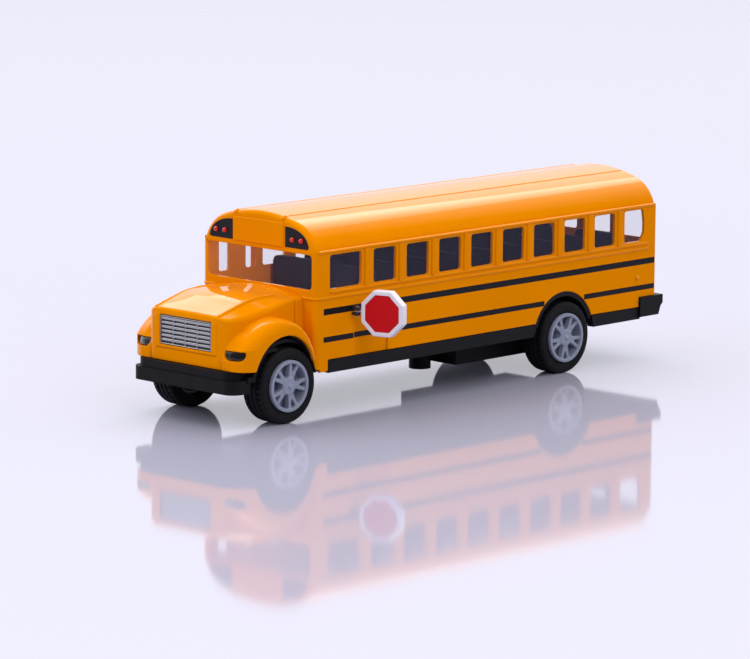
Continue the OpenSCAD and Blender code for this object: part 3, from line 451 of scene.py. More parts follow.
yellow = material("yellow_paint", (232, 137, 1), 0.38, 0.03, 900, 0.015, specular=0.0,
                  Coat_Roughness=0.05)
grazing_coat(yellow)
black = material("black_plastic", (15, 15, 20), 0.55, 0.2, 3500, 0.06, specular=0.2)
seat_black = material("seat_plastic", (26, 26, 38), 0.6, 0.2, 3000, 0.05, specular=0.2)
stripe_black = material("stripe_ink", (18, 18, 24), 0.4, 0.15, specular=0.15)
panel_black = material("panel_black", (22, 20, 24), 0.3, 0.2, specular=0.25)
rubber = material("tyre_rubber", (18, 18, 22), 0.65, 0.25, 4000, 0.12, specular=0.2)
rim_grey = material("rim_plastic", (140, 146, 168), 0.38, 0.06, 3000, 0.03, specular=0.35)
grille_plate = material("plated_plastic", (186, 186, 190), 0.2, 0.05, 3000, 0.03, Metallic=1.0)
# Dark grey for the plate behind the grille bars: painted shade, standing for the shadow in the gaps
grille_painted_shade = material("grille_gap_shade", (52, 50, 54), 0.4, 0.15, Metallic=0.4)
steel = material("steel", (190, 192, 198), 0.28, 0.06, 4000, 0.03, Metallic=1.0)
spring_blue = material("spring_steel", (120, 128, 142), 0.3, 0.1, 4000, Metallic=1.0)
gear_white = material("gear_plastic", (226, 224, 212), 0.45, 0.04, 3000)
lamp_red = material("lamp_red", (206, 20, 18), 0.12, 0.08, bump=0.01, Coat_Weight=0.8,
                    Coat_Roughness=0.04)
sign_red = material("sign_red", (196, 12, 22), 0.4, specular=0.2)
bracket_brown = material("bracket_plastic", (52, 42, 46), 0.35, 0.1, specular=0.3)
white = material("white_plastic", (226, 222, 236), 0.35, 0.03)
# Pale bluish base colour, seen at low opacity: partly the plastic's tint, partly a painted reflection that
# lightens the panes
glass_painted_sheen = material("clear_plastic", (130, 130, 166), 0.06, 0.05, 1500, 0.004, 0.02, Alpha=0.06)
lens = material("lens_plastic", (20, 20, 24), 0.06, 0.3, 1200, 0.3, 0.03, Coat_Weight=1.0,
                Coat_Roughness=0.03)
floor_grey = material("studio_floor", (176, 176, 199), 0.06, 0.01, 40, 0.0, 0.02)


# Cabin walls

def wall_outline(notches):
    """Outline of a side wall in (y, z), with the widths of its edge bevels."""
    y0, y1 = WALL_FRONT + FRONT_CORNER_R, WALL_REAR - REAR_CORNER_R
    post_y = WALL_FRONT + POST_L
    wrap_y = REAR_END - BUMPER_WRAP_L - GAP
    places = [(y0, POST_Z, 0), (post_y, POST_Z, 0.5), (post_y, EDGE_Z, 0.3)]
    for start, end, top in notches:
        r = min(0.5, (end - start) * 0.45)
        places += [(start, EDGE_Z, 0.25), (start, top, r), (end, top, r), (end, EDGE_Z, 0.25)]
    for a in np.linspace(math.pi - REAR_ARCH_TILT, REAR_ARCH_TILT, 33):
        places.append((REAR_ARCH_Y + REAR_ARCH_R * math.cos(a), REAR_ARCH_Z + REAR_ARCH_R * math.sin(a), 0))
    places += [(wrap_y, EDGE_Z, 0), (wrap_y, BUMPER_TOP_Z + GAP, 0), (y1, BUMPER_TOP_Z + GAP, 0),
               (y1, DRIP_Z, 0), (y0, DRIP_Z, 0)]
    path = round_path(places)
    inner = [y0 + GAP < p[0] < wrap_y - GAP and p[1] < DRIP_Z - GAP for p in path]
    return path, np.where(inner, 0.22, 0.0)


def side_window(start, width):
    return rounded_box((start, SILL_Z), (start + width, SILL_Z + WINDOW_H), WINDOW_R)


def last_window(start):
    """The window at the rear end, with a bulging rear edge."""
    end, top = start + WINDOW_W, SILL_Z + WINDOW_H
    return round_path([(start, SILL_Z, WINDOW_R), (end - 1.6, SILL_Z, 1.0), (end - 0.1, SILL_Z + 2.0, 1.2),
                       (end, SILL_Z + 4.8, 1.5), (end - 0.6, top, 0.8), (start, top, WINDOW_R)])


def window_row():
    starts = [WALL_FRONT + WINDOW_ROW + i * WINDOW_PITCH for i in range(WINDOW_COUNT)]
    return [side_window(start, WINDOW_W) for start in starts[:-1]] + [last_window(starts[-1])]


def left_windows():
    return [side_window(WALL_FRONT + DRIVER_WINDOW, DRIVER_WINDOW_W)] + window_row()


def right_windows():
    start = WALL_FRONT + DRIVER_WINDOW
    return [side_window(start + i * DOOR_PANE_PITCH, DOOR_PANE_W) for i in (0, 1)] + window_row()


RECESS_START = AXLE_Y + 21.6
RECESS_END, RECESS_TOP, RECESS_DEPTH = RECESS_START + 11.5, 23.6, 0.5
DOOR_START = WALL_FRONT + DRIVER_WINDOW - 1.2
DOOR_SLOTS = [DOOR_START + s for s in (0, 7.4, 14.8)]
DOOR_SLOT_W, DOOR_SLOT_TOP, DOOR_SLOT_DEPTH = 0.4, 26.7, 0.45


def left_wall(shape):
    path, widths = wall_outline([(RECESS_START, RECESS_END, RECESS_TOP)])
    plate(shape, left_plane(SIDE_X), path, WALL_T, widths, left_windows())
    back = rounded_box((RECESS_START - 1, EDGE_Z), (RECESS_END + 1, RECESS_TOP + 1), 0.2)
    plate(shape, left_plane(SIDE_X - RECESS_DEPTH), back, WALL_T - RECESS_DEPTH - 0.05)


def right_wall(shape):
    half = DOOR_SLOT_W / 2
    path, widths = wall_outline([(y - half, y + half, DOOR_SLOT_TOP) for y in DOOR_SLOTS])
    plate(shape, right_plane(SIDE_X), path, WALL_T, widths, right_windows())
    back = rounded_box((DOOR_SLOTS[0] - 1, EDGE_Z), (DOOR_SLOTS[-1] + 1, DOOR_SLOT_TOP + 1), 0.2)
    plate(shape, right_plane(SIDE_X - DOOR_SLOT_DEPTH), back, WALL_T - DOOR_SLOT_DEPTH - 0.05)


def corner_column(shape, y, r, way, low_z):
    """Quarter-round upright corner between a side wall and an end wall; way is -1 at the front."""
    normals = [(math.cos(a), way * math.sin(a), 0) for a in quarter(8)]
    shape.rows([([(SIDE_X - r + r * n[0], y + r * n[1], z) for n in normals], normals)
                for z in (low_z, DRIP_Z)], False)


def roof_profile(inset):
    """The roof's section from one drip rail to the other, as (x, z) and normals."""
    low = math.asin((DRIP_Z - HAUNCH_Z) / HAUNCH_R)
    tangent = math.asin(HAUNCH_X / (CROWN_R - HAUNCH_R))
    normals = [(math.cos(a), math.sin(a)) for a in np.linspace(low, math.pi / 2 - tangent, 21)]
    points = [(HAUNCH_X + (HAUNCH_R - inset) * nx, HAUNCH_Z + (HAUNCH_R - inset) * nz) for nx, nz in normals]
    crown = [(math.sin(a), math.cos(a)) for a in np.linspace(tangent, 0, 9)[1:]]
    points += [((CROWN_R - inset) * nx, CROWN_Z - CROWN_R + (CROWN_R - inset) * nz) for nx, nz in crown]
    normals += crown
    return [half + [(-x, z) for x, z in half[-2::-1]] for half in (points, normals)]


def roof(shape):
    rows = []
    for end, r, way in ((WALL_FRONT, FRONT_EDGE_R, -1), (WALL_REAR, REAR_EDGE_R, 1)):
        for a in quarter(8)[::way]:
            y, outward = end - way * r * (1 - math.sin(a)), math.cos(a)
            points, normals = roof_profile(r * (1 - math.cos(a)))
            rows.append(([(x, y, z) for x, z in points],
                         [(nx * outward, way * math.sin(a), nz * outward) for nx, nz in normals]))
    shape.rows(rows, False)
    inner, looks = roof_profile(WALL_T)
    shape.rows([([(x, y, z) for x, z in inner], [(-nx, 0, -nz) for nx, nz in looks])
                for y in (WALL_FRONT + LINING_INSET, WALL_REAR - LINING_INSET)], False)


def end_outline(half_w, low_z, inset):
    arch, _ = roof_profile(inset)
    top = [(x, z) for x, z in arch if z > DRIP_Z - 1]
    return [(-half_w, low_z), (half_w, low_z), (half_w, DRIP_Z - 1.2)] + top + [(-half_w, DRIP_Z - 1.2)]


WINDSCREEN_HALF, WINDSCREEN_TOP = 17.45, 38.65
HEADER_HALF, HEADER_LOW, HEADER_HIGH, HEADER_PROUD, HEADER_T = 8.35, 39.7, 45.5, 0.3, 0.5
FRONT_LOW_Z, COLUMN_LOW_Z = 14.2, 11.7


def windscreen():
    return rounded_box((-WINDSCREEN_HALF, SILL_Z), (WINDSCREEN_HALF, WINDSCREEN_TOP), 1.0)


def front_wall(shape):
    outline = end_outline(SIDE_X - FRONT_CORNER_R, FRONT_LOW_Z, FRONT_EDGE_R)
    plate(shape, front_plane(WALL_FRONT), outline, WALL_T, 0.0, [windscreen()])
    board = rounded_box((-HEADER_HALF, HEADER_LOW), (HEADER_HALF, HEADER_HIGH), 0.35)
    plate(shape, front_plane(WALL_FRONT - HEADER_PROUD), board, HEADER_T, 0.2)


REAR_WINDOW_W, REAR_WINDOW_PITCH, REAR_DOOR_MARGIN, REAR_DOOR_GAP = 8.6, 11.4, 1.2, 0.35
HANDLE_HALF, HANDLE_Z, HANDLE_R, HANDLE_PROUD = 2.6, 24.0, 0.4, 0.15


def rear_window(i):
    return side_window(i * REAR_WINDOW_PITCH - REAR_WINDOW_W / 2, REAR_WINDOW_W)


def rear_wall(shape):
    half_w = REAR_WINDOW_W / 2 + REAR_DOOR_MARGIN
    low, high = BUMPER_TOP_Z + 1.2, SILL_Z + WINDOW_H + 0.6

    def door(grow, r):
        return rounded_box((-half_w - grow, low - grow), (half_w + grow, high + grow), r)

    outline = end_outline(SIDE_X - REAR_CORNER_R, EDGE_Z, REAR_EDGE_R)
    gap = door(0, 0.5)
    plate(shape, rear_plane(WALL_REAR), outline, WALL_T, 0.0, [rear_window(-1), gap, rear_window(1)], 0.2)
    plate(shape, rear_plane(WALL_REAR), door(-REAR_DOOR_GAP, 0.4), WALL_T, 0.2, [rear_window(0)])
    plate(shape, rear_plane(WALL_REAR - 0.5), door(0.6, 0.4), 0.5, 0.0, [rear_window(0)], 0.0)
    handle_y = WALL_REAR + HANDLE_PROUD
    bead(shape, (-HANDLE_HALF, handle_y, HANDLE_Z), (HANDLE_HALF, handle_y, HANDLE_Z), HANDLE_R)


RIDGE_X, RIDGE_R = 7.9, 0.32
BELT_ZS, BELT_R, BELT_START, BELT_END = (28.4, 29.7), 0.4, 13.4, 128.0
RIB_W, RIB_PROUD, RIB_LOW, RIB_HIGH = 1.9, 0.32, 29.95, 39.1
RIDGE_KNOB_R, RIB_FOOT_R, LIP_START_X = 0.6, 0.36, 14.8
STUD_Y, STUD_Z, STUD_R, STUD_H = 124.2, 21.15, 0.75, 0.45


def corner_lip(shape):
    """The lower belt ridge carried round the front corner."""
    r, z = FRONT_CORNER_R, BELT_ZS[0]
    x, y = SIDE_X - SINK, WALL_FRONT + SINK
    path = [(LIP_START_X, y, z)]
    path += [(x - r + r * math.sin(a), y + r - r * math.cos(a), z) for a in quarter(6)]
    path.append((x, AXLE_Y + BELT_START, z))
    for start, end in zip(path, path[1:]):
        bead(shape, start, end, BELT_R, 12, 4)


def side_trim(shape):
    """Drip rail, roof ridge, belt ridges and pillar ribs of the left side."""
    bead(shape, (SIDE_X - 0.05, WALL_FRONT + 1.2, DRIP_Z), (SIDE_X - 0.05, WALL_REAR - 1.0, DRIP_Z), DRIP_R)
    ridge_z = CROWN_Z - CROWN_R + math.sqrt(CROWN_R ** 2 - RIDGE_X ** 2) - 0.16
    bead(shape, (RIDGE_X, WALL_FRONT + 0.4, ridge_z), (RIDGE_X, WALL_REAR - 1.6, ridge_z), RIDGE_R)
    knob_z = ridge_z - 0.35
    bead(shape, (RIDGE_X, WALL_FRONT + 0.35, knob_z), (RIDGE_X, WALL_FRONT + 0.8, knob_z + 0.2), RIDGE_KNOB_R)
    for z in BELT_ZS:
        x = SIDE_X - SINK
        bead(shape, (x, AXLE_Y + BELT_START, z), (x, AXLE_Y + BELT_END, z), BELT_R)
    corner_lip(shape)
    turned(shape, (SIDE_X - SINK, AXLE_Y + STUD_Y, STUD_Z), (1, 0, 0),
           dome(0, STUD_H, STUD_R, 6), 20)
    pillars = [WALL_FRONT + DRIVER_WINDOW + DRIVER_WINDOW_W]
    pillars += [WALL_FRONT + WINDOW_ROW + i * WINDOW_PITCH + WINDOW_W for i in range(WINDOW_COUNT - 1)]
    for start in pillars:
        low = start + (WINDOW_PITCH - WINDOW_W - RIB_W) / 2
        rib = rounded_box((low, RIB_LOW), (low + RIB_W, RIB_HIGH), 0.7)
        plate(shape, left_plane(SIDE_X + RIB_PROUD), rib, RIB_PROUD + 0.1, 0.3)
        foot = (SIDE_X + 0.12, low + 0.3, RIB_LOW + 0.25)
        bead(shape, foot, (foot[0], foot[1], foot[2] + 0.2), RIB_FOOT_R, 12, 4)


def glazing():
    """Clear panes set a little behind the faces of the walls."""
    shape = Shape()
    sides = ((left_plane(SIDE_X - PANE_DEPTH), left_windows()),
             (right_plane(SIDE_X - PANE_DEPTH), right_windows()),
             (front_plane(WALL_FRONT + PANE_DEPTH), [windscreen()]),
             (rear_plane(WALL_REAR - PANE_DEPTH), [rear_window(i) for i in (-1, 0, 1)]))
    for plane, windows in sides:
        for path in windows:
            plate(shape, plane, np.array(path) + path_normals(path) * PANE_EDGE, PANE_T)
    return shape


def cabin():
    shape = Shape()
    left_wall(shape)
    right_wall(shape)
    front_wall(shape)
    rear_wall(shape)
    roof(shape)

    def half(part):
        corner_column(part, WALL_FRONT + FRONT_CORNER_R, FRONT_CORNER_R, -1, COLUMN_LOW_Z)
        corner_column(part, WALL_REAR - REAR_CORNER_R, REAR_CORNER_R, 1, BUMPER_TOP_Z - 1)
        side_trim(part)

    shape.join(both_sides(half), Matrix.Identity(4))
    return shape


def stripes():
    """The two dark bands along each side, a hair proud of the paint."""
    shape = Shape()
    start, end = WALL_FRONT + STRIPE_START, WALL_REAR - REAR_CORNER_R
    face_x = SIDE_X + STRIPE_PROUD
    for plane, left in ((left_plane(face_x), True), (right_plane(face_x), False)):
        for low, high in STRIPES:
            runs = [(start, end)]
            if low < RECESS_TOP:
                reach = math.sqrt(REAR_ARCH_R ** 2 - (low - REAR_ARCH_Z) ** 2) + 0.05
                runs = [(start, REAR_ARCH_Y - reach), (REAR_ARCH_Y + reach, end)]
                if left:
                    runs = [(start, RECESS_START - 0.3), (RECESS_END + 0.3, runs[0][1]), runs[1]]
            for first, last in runs:
                plate(shape, plane, rounded_box((first, low), (last, high), 0.12, 3), STRIPE_T, 0.02, steps=2)
    low, high = STRIPES[1]
    plate(shape, left_plane(face_x - RECESS_DEPTH),
          rounded_box((RECESS_START + GAP, low), (RECESS_END - GAP, high), 0.1, 3), STRIPE_T, 0.02, steps=2)
    return shape


LIP_DEPTH, LIP_INNER_R, LIP_TURN, LIP_T, LIP_BEVEL = 0.25, 10.0, 0.06, 1.2, 0.15


def arch_lips():
    """Dark edges of the rear wheel wells, a little behind the paint."""
    shape = Shape()
    tilt = REAR_ARCH_TILT - LIP_TURN
    angles = np.linspace(tilt, math.pi - tilt, 41)
    path = [(REAR_ARCH_Y + r * math.cos(a), REAR_ARCH_Z + r * math.sin(a))
            for r, turns in ((REAR_ARCH_R + 0.1, angles), (LIP_INNER_R, angles[::-1])) for a in turns]
    for plane in (left_plane(SIDE_X - LIP_DEPTH), right_plane(SIDE_X - LIP_DEPTH)):
        plate(shape, plane, path, LIP_T, LIP_BEVEL)
    return shape


# Nose: hood, front corners and fenders as one rounded casting

HOOD_CREASE_X = 10.4
HOOD_STATIONS = (-15.4, -12.6, -8.2, -5.6, -1.65, 3.6, 6.0, 9.5)
HOOD_CREASE_Z = (25.95, 26.85, 28.05, 28.75, 29.15, 29.1, 29.25, 29.4)
SHOULDER_STATIONS = (-15.1, -10.7, -6.8, -1.6, 3.4, 9.5)
SHOULDER_DROP = (0.75, 1.95, 2.6, 2.35, 0.9, 0.8)
SHOULDER_W = (2.6, 3.1, 3.5, 3.9, 4.1, 4.3)
HOOD_CROWN = 0.75
HOOD_FLAT_Y, HOOD_CROWNED_Y = -15.4, -8.0
FRAME_HALF, FRAME_LOW, FRAME_HIGH, FRAME_FADE, FRAME_PROUD = 10.2, 16.8, 25.5, 1.2, 0.22
NOSE_Y, FASCIA_Y, FASCIA_TOP, FASCIA_HALF = -15.3, -14.9, 22.5, 19.3
FASCIA_CORNER_R, CREASE_R = 5.0, 0.42
FENDER_FRONT_Y, FENDER_INNER_X, FENDER_STRETCH = -15.4, 12.0, 0.93
FENDER_R, FENDER_HALF = 16.6, 19.4
FRONT_ARCH = (-1.0, 10.4, 10.6)
FRONT_ARCH_REAR, FENDER_REAR = (-1.15, 11.96, 9.05), (-4.07, 12.39, 12.95)
FENDER_HEEL_Y, FENDER_HEEL_Z, FENDER_HEEL_X, TYRE_CLEARANCE = 5.0, 11.4, 14.0, 0.35
SEAM_Y, SEAM_W, SEAM_DEPTH = 6.0, 0.34, 0.22
GRILLE_HALF, GRILLE_LOW, GRILLE_HIGH, GRILLE_EDGE, GRILLE_RIM = 8.6, 17.5, 24.6, 0.15, 0.25
GRILLE_ROWS, GRILLE_COLUMNS, GRILLE_BAR_SHARE, GRILLE_RIB, GRILLE_LEAN = 6, 4, 0.64, 0.3, 0.35
HEADLIGHT, HEADLIGHT_END = (12.5, 18.0, 16.3, 18.3), -3.0
ARCH_INNER_X, NOSE_END = 10.5, 9.4
NOSE_BOX_LOW, NOSE_BOX_HIGH = (-20.1, AXLE_Y - 16.2, FENDER_HEEL_Z - 0.5), (20.1, AXLE_Y + 10.0, 31.0)
NOSE_STEP = 0.24
LINING_X, LINING_HALF_W, LINING_START, LINING_END = 16.4, 2.3, 0.5, 10.0
LINING_LOW, LINING_HIGH, LINING_MARGIN = 11.0, 21.5, 0.3
LINING_T, LINING_GAP, LINING_STEP = 0.4, 0.04, 0.14


def smooth_line(y, stations, values):
    """Smooth curve through a few stations."""
    fine = np.linspace(stations[0], stations[-1], 120)
    line = np.interp(fine, stations, values)
    kernel = np.hanning(25)
    line = np.convolve(np.pad(line, 12, mode="edge"), kernel / kernel.sum(), mode="valid")
    return np.interp(y, fine, line)


def hood_field(x, y, z):
    ax = np.abs(x)
    crease = smooth_line(y, HOOD_STATIONS, HOOD_CREASE_Z)
    crown = HOOD_CROWN * np.clip((y - HOOD_FLAT_Y) / (HOOD_CROWNED_Y - HOOD_FLAT_Y), 0, 1)
    top = z - crease - crown * (1 - (x / HOOD_CREASE_X) ** 2)
    drop = smooth_line(y, SHOULDER_STATIONS, SHOULDER_DROP)
    width = smooth_line(y, SHOULDER_STATIONS, SHOULDER_W)
    fall = drop / width
    shoulder = (z - crease + (ax - HOOD_CREASE_X) * fall) / np.sqrt(1 + fall ** 2)
    side = ax - HOOD_CREASE_X - width
    front = NOSE_Y - y
    form = round_both(top, shoulder, 0.5)
    form = round_both(form, round_both(side, front, 2.4), 0.7)
    ridge = np.hypot(ax - HOOD_CREASE_X, z - crease + 0.12) - CREASE_R
    ridge = np.maximum(ridge, np.maximum(NOSE_Y + 0.5 - y, y - 3.0))
    return round_either(form, ridge, 0.35)


def fascia_field(x, y, z, inset=0.0):
    front = round_both(FASCIA_Y + inset - y, z - FASCIA_TOP + inset, 6.0)
    return np.maximum(round_both(front, np.abs(x) - FASCIA_HALF + inset, FASCIA_CORNER_R), y - 2)


def headlight_field(x, z, grow):
    """Flat-topped half-round outline of a headlight, in the plane across Y."""
    x0, x1, z0, z1 = HEADLIGHT
    ax = np.abs(x)
    sides = np.maximum(x0 - grow - ax, ax - x1 - grow)
    below = round_both(sides, z0 - grow - z, 1.5)
    return round_both(below, z - z1 - grow, 0.3)


def arch_field(y, z):
    """Outline of the front wheel's opening, negative inside."""
    arch, rear = (np.hypot(y - at_y, z - at_z) - r for at_y, at_z, r in (FRONT_ARCH, FRONT_ARCH_REAR))
    clear = np.hypot(y, z - AXLE_Z) - AXLE_Z - TYRE_CLEARANCE
    return np.where(y < 0, arch, np.minimum(rear, clear))


def lining_field(x, y, z):
    """Black skin inside the rear half of the front wheel's opening."""
    y = y - AXLE_Y
    arch = arch_field(y, z)
    skin = np.maximum(arch + LINING_GAP, -LINING_T - LINING_GAP - arch)
    skin = np.maximum(skin, AXLE_Z + LINING_GAP - np.hypot(y, z - AXLE_Z))
    return np.maximum(np.maximum(skin, np.abs(np.abs(x) - LINING_X) - LINING_HALF_W), LINING_START - y)


def linings():
    reach = LINING_HALF_W + LINING_MARGIN
    form = field_shape(lining_field, (LINING_X - reach, AXLE_Y + LINING_START - LINING_MARGIN, LINING_LOW),
                       (LINING_X + reach, AXLE_Y + LINING_END, LINING_HIGH), LINING_STEP)
    for side, mirror in SIDES:
        piece("front_arch_lining_" + side, form.moved(mirror), "bus", black)


def nose_field(x, y, z):
    y = y - AXLE_Y
    ax = np.abs(x)
    ring = np.hypot(np.where(y < 0, y * FENDER_STRETCH, y), z - AXLE_Z) - FENDER_R
    rear_y, rear_z, rear_r = FENDER_REAR
    rear_ring = np.hypot(y - rear_y, z - rear_z) - rear_r
    fender = round_both(round_both(ring, ax - FENDER_HALF, 3.0), rear_ring, 1.2)
    fender = round_both(fender, FENDER_INNER_X - ax, 1.2)
    fender = np.maximum(fender, round_both(FENDER_FRONT_Y - y, ax - FENDER_HALF, FASCIA_CORNER_R))
    form = round_either(fascia_field(x, y, z), fender, 0.3)
    form = round_either(hood_field(x, y, z), form, 0.2)
    proud = FRAME_PROUD * np.clip((FRAME_HIGH - z) / FRAME_FADE, 0, 1)
    border = round_both(round_both(ax - FRAME_HALF, FRAME_LOW - z, 0.4), NOSE_Y - proud - y, 0.2)
    form = np.minimum(form, np.maximum(np.maximum(border, z - FRAME_HIGH), y + 12))
    seam = np.maximum(np.abs(y - SEAM_Y) - SEAM_W / 2, -form - SEAM_DEPTH)
    seam = np.maximum(seam, SEAM_DEPTH - fender)
    form = round_both(form, -seam, 0.08)
    arch = np.maximum(arch_field(y, z), ARCH_INNER_X - ax)
    form = round_both(form, -arch, 0.35)
    pocket_z = (GRILLE_LOW + GRILLE_HIGH) / 2
    pocket = round_both(ax - GRILLE_HALF, np.abs(z - pocket_z) - (GRILLE_HIGH - GRILLE_LOW) / 2, 0.3)
    form = round_both(form, -np.maximum(pocket, y - NOSE_Y - 0.7), 0.1)
    lamp = np.maximum(headlight_field(x, z, 0.1), y - HEADLIGHT_END)
    lamp = np.maximum(lamp, -fascia_field(x, y, z, 1.1))
    form = round_both(form, -lamp, 0.15)
    heel = (y > FENDER_HEEL_Y) & (ax > FENDER_HEEL_X)
    form = round_both(form, np.where(heel, FENDER_HEEL_Z, EDGE_Z - 0.05) - z, 0.25)
    return np.maximum(form, y - NOSE_END)


def nose():
    return field_shape(nose_field, NOSE_BOX_LOW, NOSE_BOX_HIGH, NOSE_STEP)


# Grille: plated bars, with leaning ribs between them, over a dark plate that paints the shade in the gaps
# between them

def grille():
    bars = Shape()
    face_y = AXLE_Y + NOSE_Y
    low_z, high_z = GRILLE_LOW + GRILLE_EDGE, GRILLE_HIGH - 0.2
    half = GRILLE_HALF - GRILLE_EDGE
    outer, opening = (rounded_box((inset - half, low_z + inset), (half - inset, high_z - inset), r)
                      for inset, r in ((0, 0.25), (GRILLE_RIM, 0.2)))
    plate(bars, front_plane(face_y - 0.1), outer, 0.6, 0.12, [opening], 0.15)
    pitch = (high_z - low_z - 0.7) / GRILLE_ROWS
    cell = (2 * half - 0.8) / GRILLE_COLUMNS
    slot = pitch * (1 - GRILLE_BAR_SHARE)
    for row in range(GRILLE_ROWS):
        z0 = low_z + 0.35 + row * pitch
        bar = rounded_box((0.3 - half, z0 + slot), (half - 0.3, z0 + pitch), 0.22, 3)
        plate(bars, front_plane(face_y - 0.02), bar, 0.45, 0.2, steps=3)
        for col in range(1, GRILLE_COLUMNS):
            x = 0.4 - half + col * cell
            ends = ((x - GRILLE_LEAN - GRILLE_RIB, z0 - slot / 2), (x - GRILLE_LEAN, z0 - slot / 2),
                    (x + GRILLE_LEAN, z0 + slot * 1.5), (x + GRILLE_LEAN - GRILLE_RIB, z0 + slot * 1.5))
            rib = round_path([(u, v, 0.1) for u, v in ends], 3)
            plate(bars, front_plane(face_y - 0.06), rib, 0.4, 0.08, steps=3)
    piece("grille_bars", bars, "bus", grille_plate, ["grille"])
    # Dark plate filling the grille's pocket: painted shade under each bar and round the frame
    ground = Shape()
    fill = rounded_box((-GRILLE_HALF, GRILLE_LOW), (GRILLE_HALF, GRILLE_HIGH), 0.25)
    plate(ground, front_plane(face_y + 0.3), fill, 0.3)
    piece("grille_gap_shade", ground, "bus", grille_painted_shade)


# Wheels

TYRE_LOW, TYRE_HIGH = corners("front_tyre_left")
TYRE_IN, TYRE_OUT = TYRE_LOW[0], TYRE_HIGH[0]
TYRE_R = AXLE_Z
RIM_R = 6.15
RIM_FACE = corners("front_rim_left")[1][0]
TREAD_BLOCKS, TREAD_DEPTH, TREAD_SHARP, SHOULDER_R = 40, 0.34, 32, 0.95
GROOVES, GROOVE_HALF, CUT_SHARE, CUT_SLANT = (0.3, 0.5, 0.7), 0.035, 0.22, 1.2


def tyre_radius(along, angle):
    """Radius of the tread, with grooves round it and slanted cuts across its shoulders."""
    share = along / (TYRE_OUT - TYRE_IN)
    r = TYRE_R
    if any(abs(share - groove) < GROOVE_HALF for groove in GROOVES):
        r -= TREAD_DEPTH
    turn = (angle / (2 * math.pi) * TREAD_BLOCKS + CUT_SLANT * abs(share - 0.5)) % 1
    if turn < CUT_SHARE and not GROOVES[0] <= share <= GROOVES[-1]:
        r -= TREAD_DEPTH
    return r


def tyre(y):
    shape = Shape()
    width = TYRE_OUT - TYRE_IN
    steps = TREAD_BLOCKS * 8
    section = [(0.35, RIM_R - 0.1), (0.12, RIM_R + 0.5), (0.0, RIM_R + 1.2), (0.05, TYRE_R - SHOULDER_R)]
    for a in quarter(5)[1:-1]:
        section.append((SHOULDER_R * (1 - math.cos(a)), TYRE_R - SHOULDER_R * (1 - math.sin(a))))
    tread = [(along, None) for along in np.linspace(SHOULDER_R, width - SHOULDER_R, 33)]
    section = section + tread + [(width - a, r) for a, r in reversed(section)]
    centre = np.array((TYRE_IN + width / 2, y, AXLE_Z))
    rows = []
    for along, radius in section:
        points = []
        for k in range(steps):
            a = 2 * math.pi * k / steps
            r = radius or tyre_radius(along, a)
            points.append((TYRE_IN + along, y + r * math.cos(a), AXLE_Z + r * math.sin(a)))
        rows.append((points, np.array(points) - centre))
    shape.rows(rows, True)
    return shape


SPOKES, SPOKE_SPLIT, SPOKE_SPREAD, SPOKE_TURN = 5, 3.4, 17.0, math.radians(-23.5)
SPOKE_ROOT, SPOKE_TIP, SPOKE_APART, SPOKE_JOIN = 0.85, 0.46, 0.35, 0.9
HUB_R, CAP_R, RING_W, RIM_DEPTH, RIM_STEP = 2.1, 0.75, 0.85, 5.6, 0.17
RIM_BOX_LOW, RIM_BOX_HIGH = (-5.8, -6.4, -6.4), (0.4, 6.4, 6.4)
FRONT_TURN, REAR_TURN = 0.5, 0.2


def rim_field(x, y, z):
    """Left rim with its axle at the origin: x runs out along the axle, its face at zero."""
    r = np.hypot(y, z)
    barrel = round_both(r - RIM_R + 0.02, RIM_R - RING_W - r, 0.12)
    barrel = round_both(barrel, np.abs(x + RIM_DEPTH / 2) - RIM_DEPTH / 2, 0.18)
    angle = np.arctan2(y, z)
    sector = 2 * math.pi / SPOKES
    local = (angle - SPOKE_TURN + sector / 2) % sector - sector / 2
    along, off = r * np.cos(local), np.abs(r * np.sin(local))
    lean = math.radians(SPOKE_SPREAD)
    fork = along - SPOKE_SPLIT + SPOKE_JOIN
    prong = np.abs((off - SPOKE_APART) * math.cos(lean) - fork * math.sin(lean)) - SPOKE_TIP
    prong = np.maximum(prong, -fork)
    root = np.maximum(off - SPOKE_ROOT, along - SPOKE_SPLIT)
    spokes = np.maximum(round_either(prong, root, 0.35), r - RIM_R + 0.3)
    spokes = round_both(spokes, np.abs(x + 1.15) - 0.75, 0.22)
    hub = round_both(r - HUB_R, np.abs(x + 1.6) - 1.35, 0.35)
    cap = np.hypot(x + 0.55, r) - CAP_R
    web = round_both(r - RIM_R + 0.4, np.abs(x + 3.4) - 0.4, 0.1)
    form = round_either(barrel, spokes, 0.25)
    form = round_either(form, round_either(hub, cap, 0.15), 0.35)
    return np.minimum(form, web)


def wheels():
    rim = field_shape(rim_field, RIM_BOX_LOW, RIM_BOX_HIGH, RIM_STEP)
    for end, y, turn in (("front", AXLE_Y, FRONT_TURN), ("rear", REAR_AXLE_Y, REAR_TURN)):
        ring = tyre(y)
        for side, mirror in SIDES:
            place = mirror @ Matrix.Translation((RIM_FACE, y, AXLE_Z)) @ Matrix.Rotation(turn, 4, "X")
            piece(f"{end}_rim_{side}_cast", rim.moved(place), f"{end}_wheels", rim_grey,
                  [f"{end}_rim_{side}"])
            piece(f"{end}_tyre_{side}_tread", ring.moved(mirror), f"{end}_wheels", rubber,
                  [f"{end}_tyre_{side}"], TREAD_SHARP)


# Lamps and headlights

LAMP_PANEL, PANEL_PROUD = (8.75, 16.6, 39.8, 44.7), 0.08
LAMP_XS, LAMP_Z, LAMP_R, LAMP_H, LAMP_RIM = (11.3, 14.2), 41.75, 0.62, 0.6, 0.12


def lamp_panel(shape):
    """Dark quarter panel beside the header board, on the left."""
    x0, x1, z0, z1 = LAMP_PANEL
    path = [(x0, z0), (x1 - 0.7, z0), (x1 - 0.2, z0 + 0.2)]
    path += [(x0 + (x1 - x0) * math.cos(a) ** 0.9, z0 + (z1 - z0) * math.sin(a)) for a in quarter(15)[1:-1]]
    path.append((x0, z1))
    plate(shape, front_plane(WALL_FRONT - PANEL_PROUD), path, 0.4, 0.1)


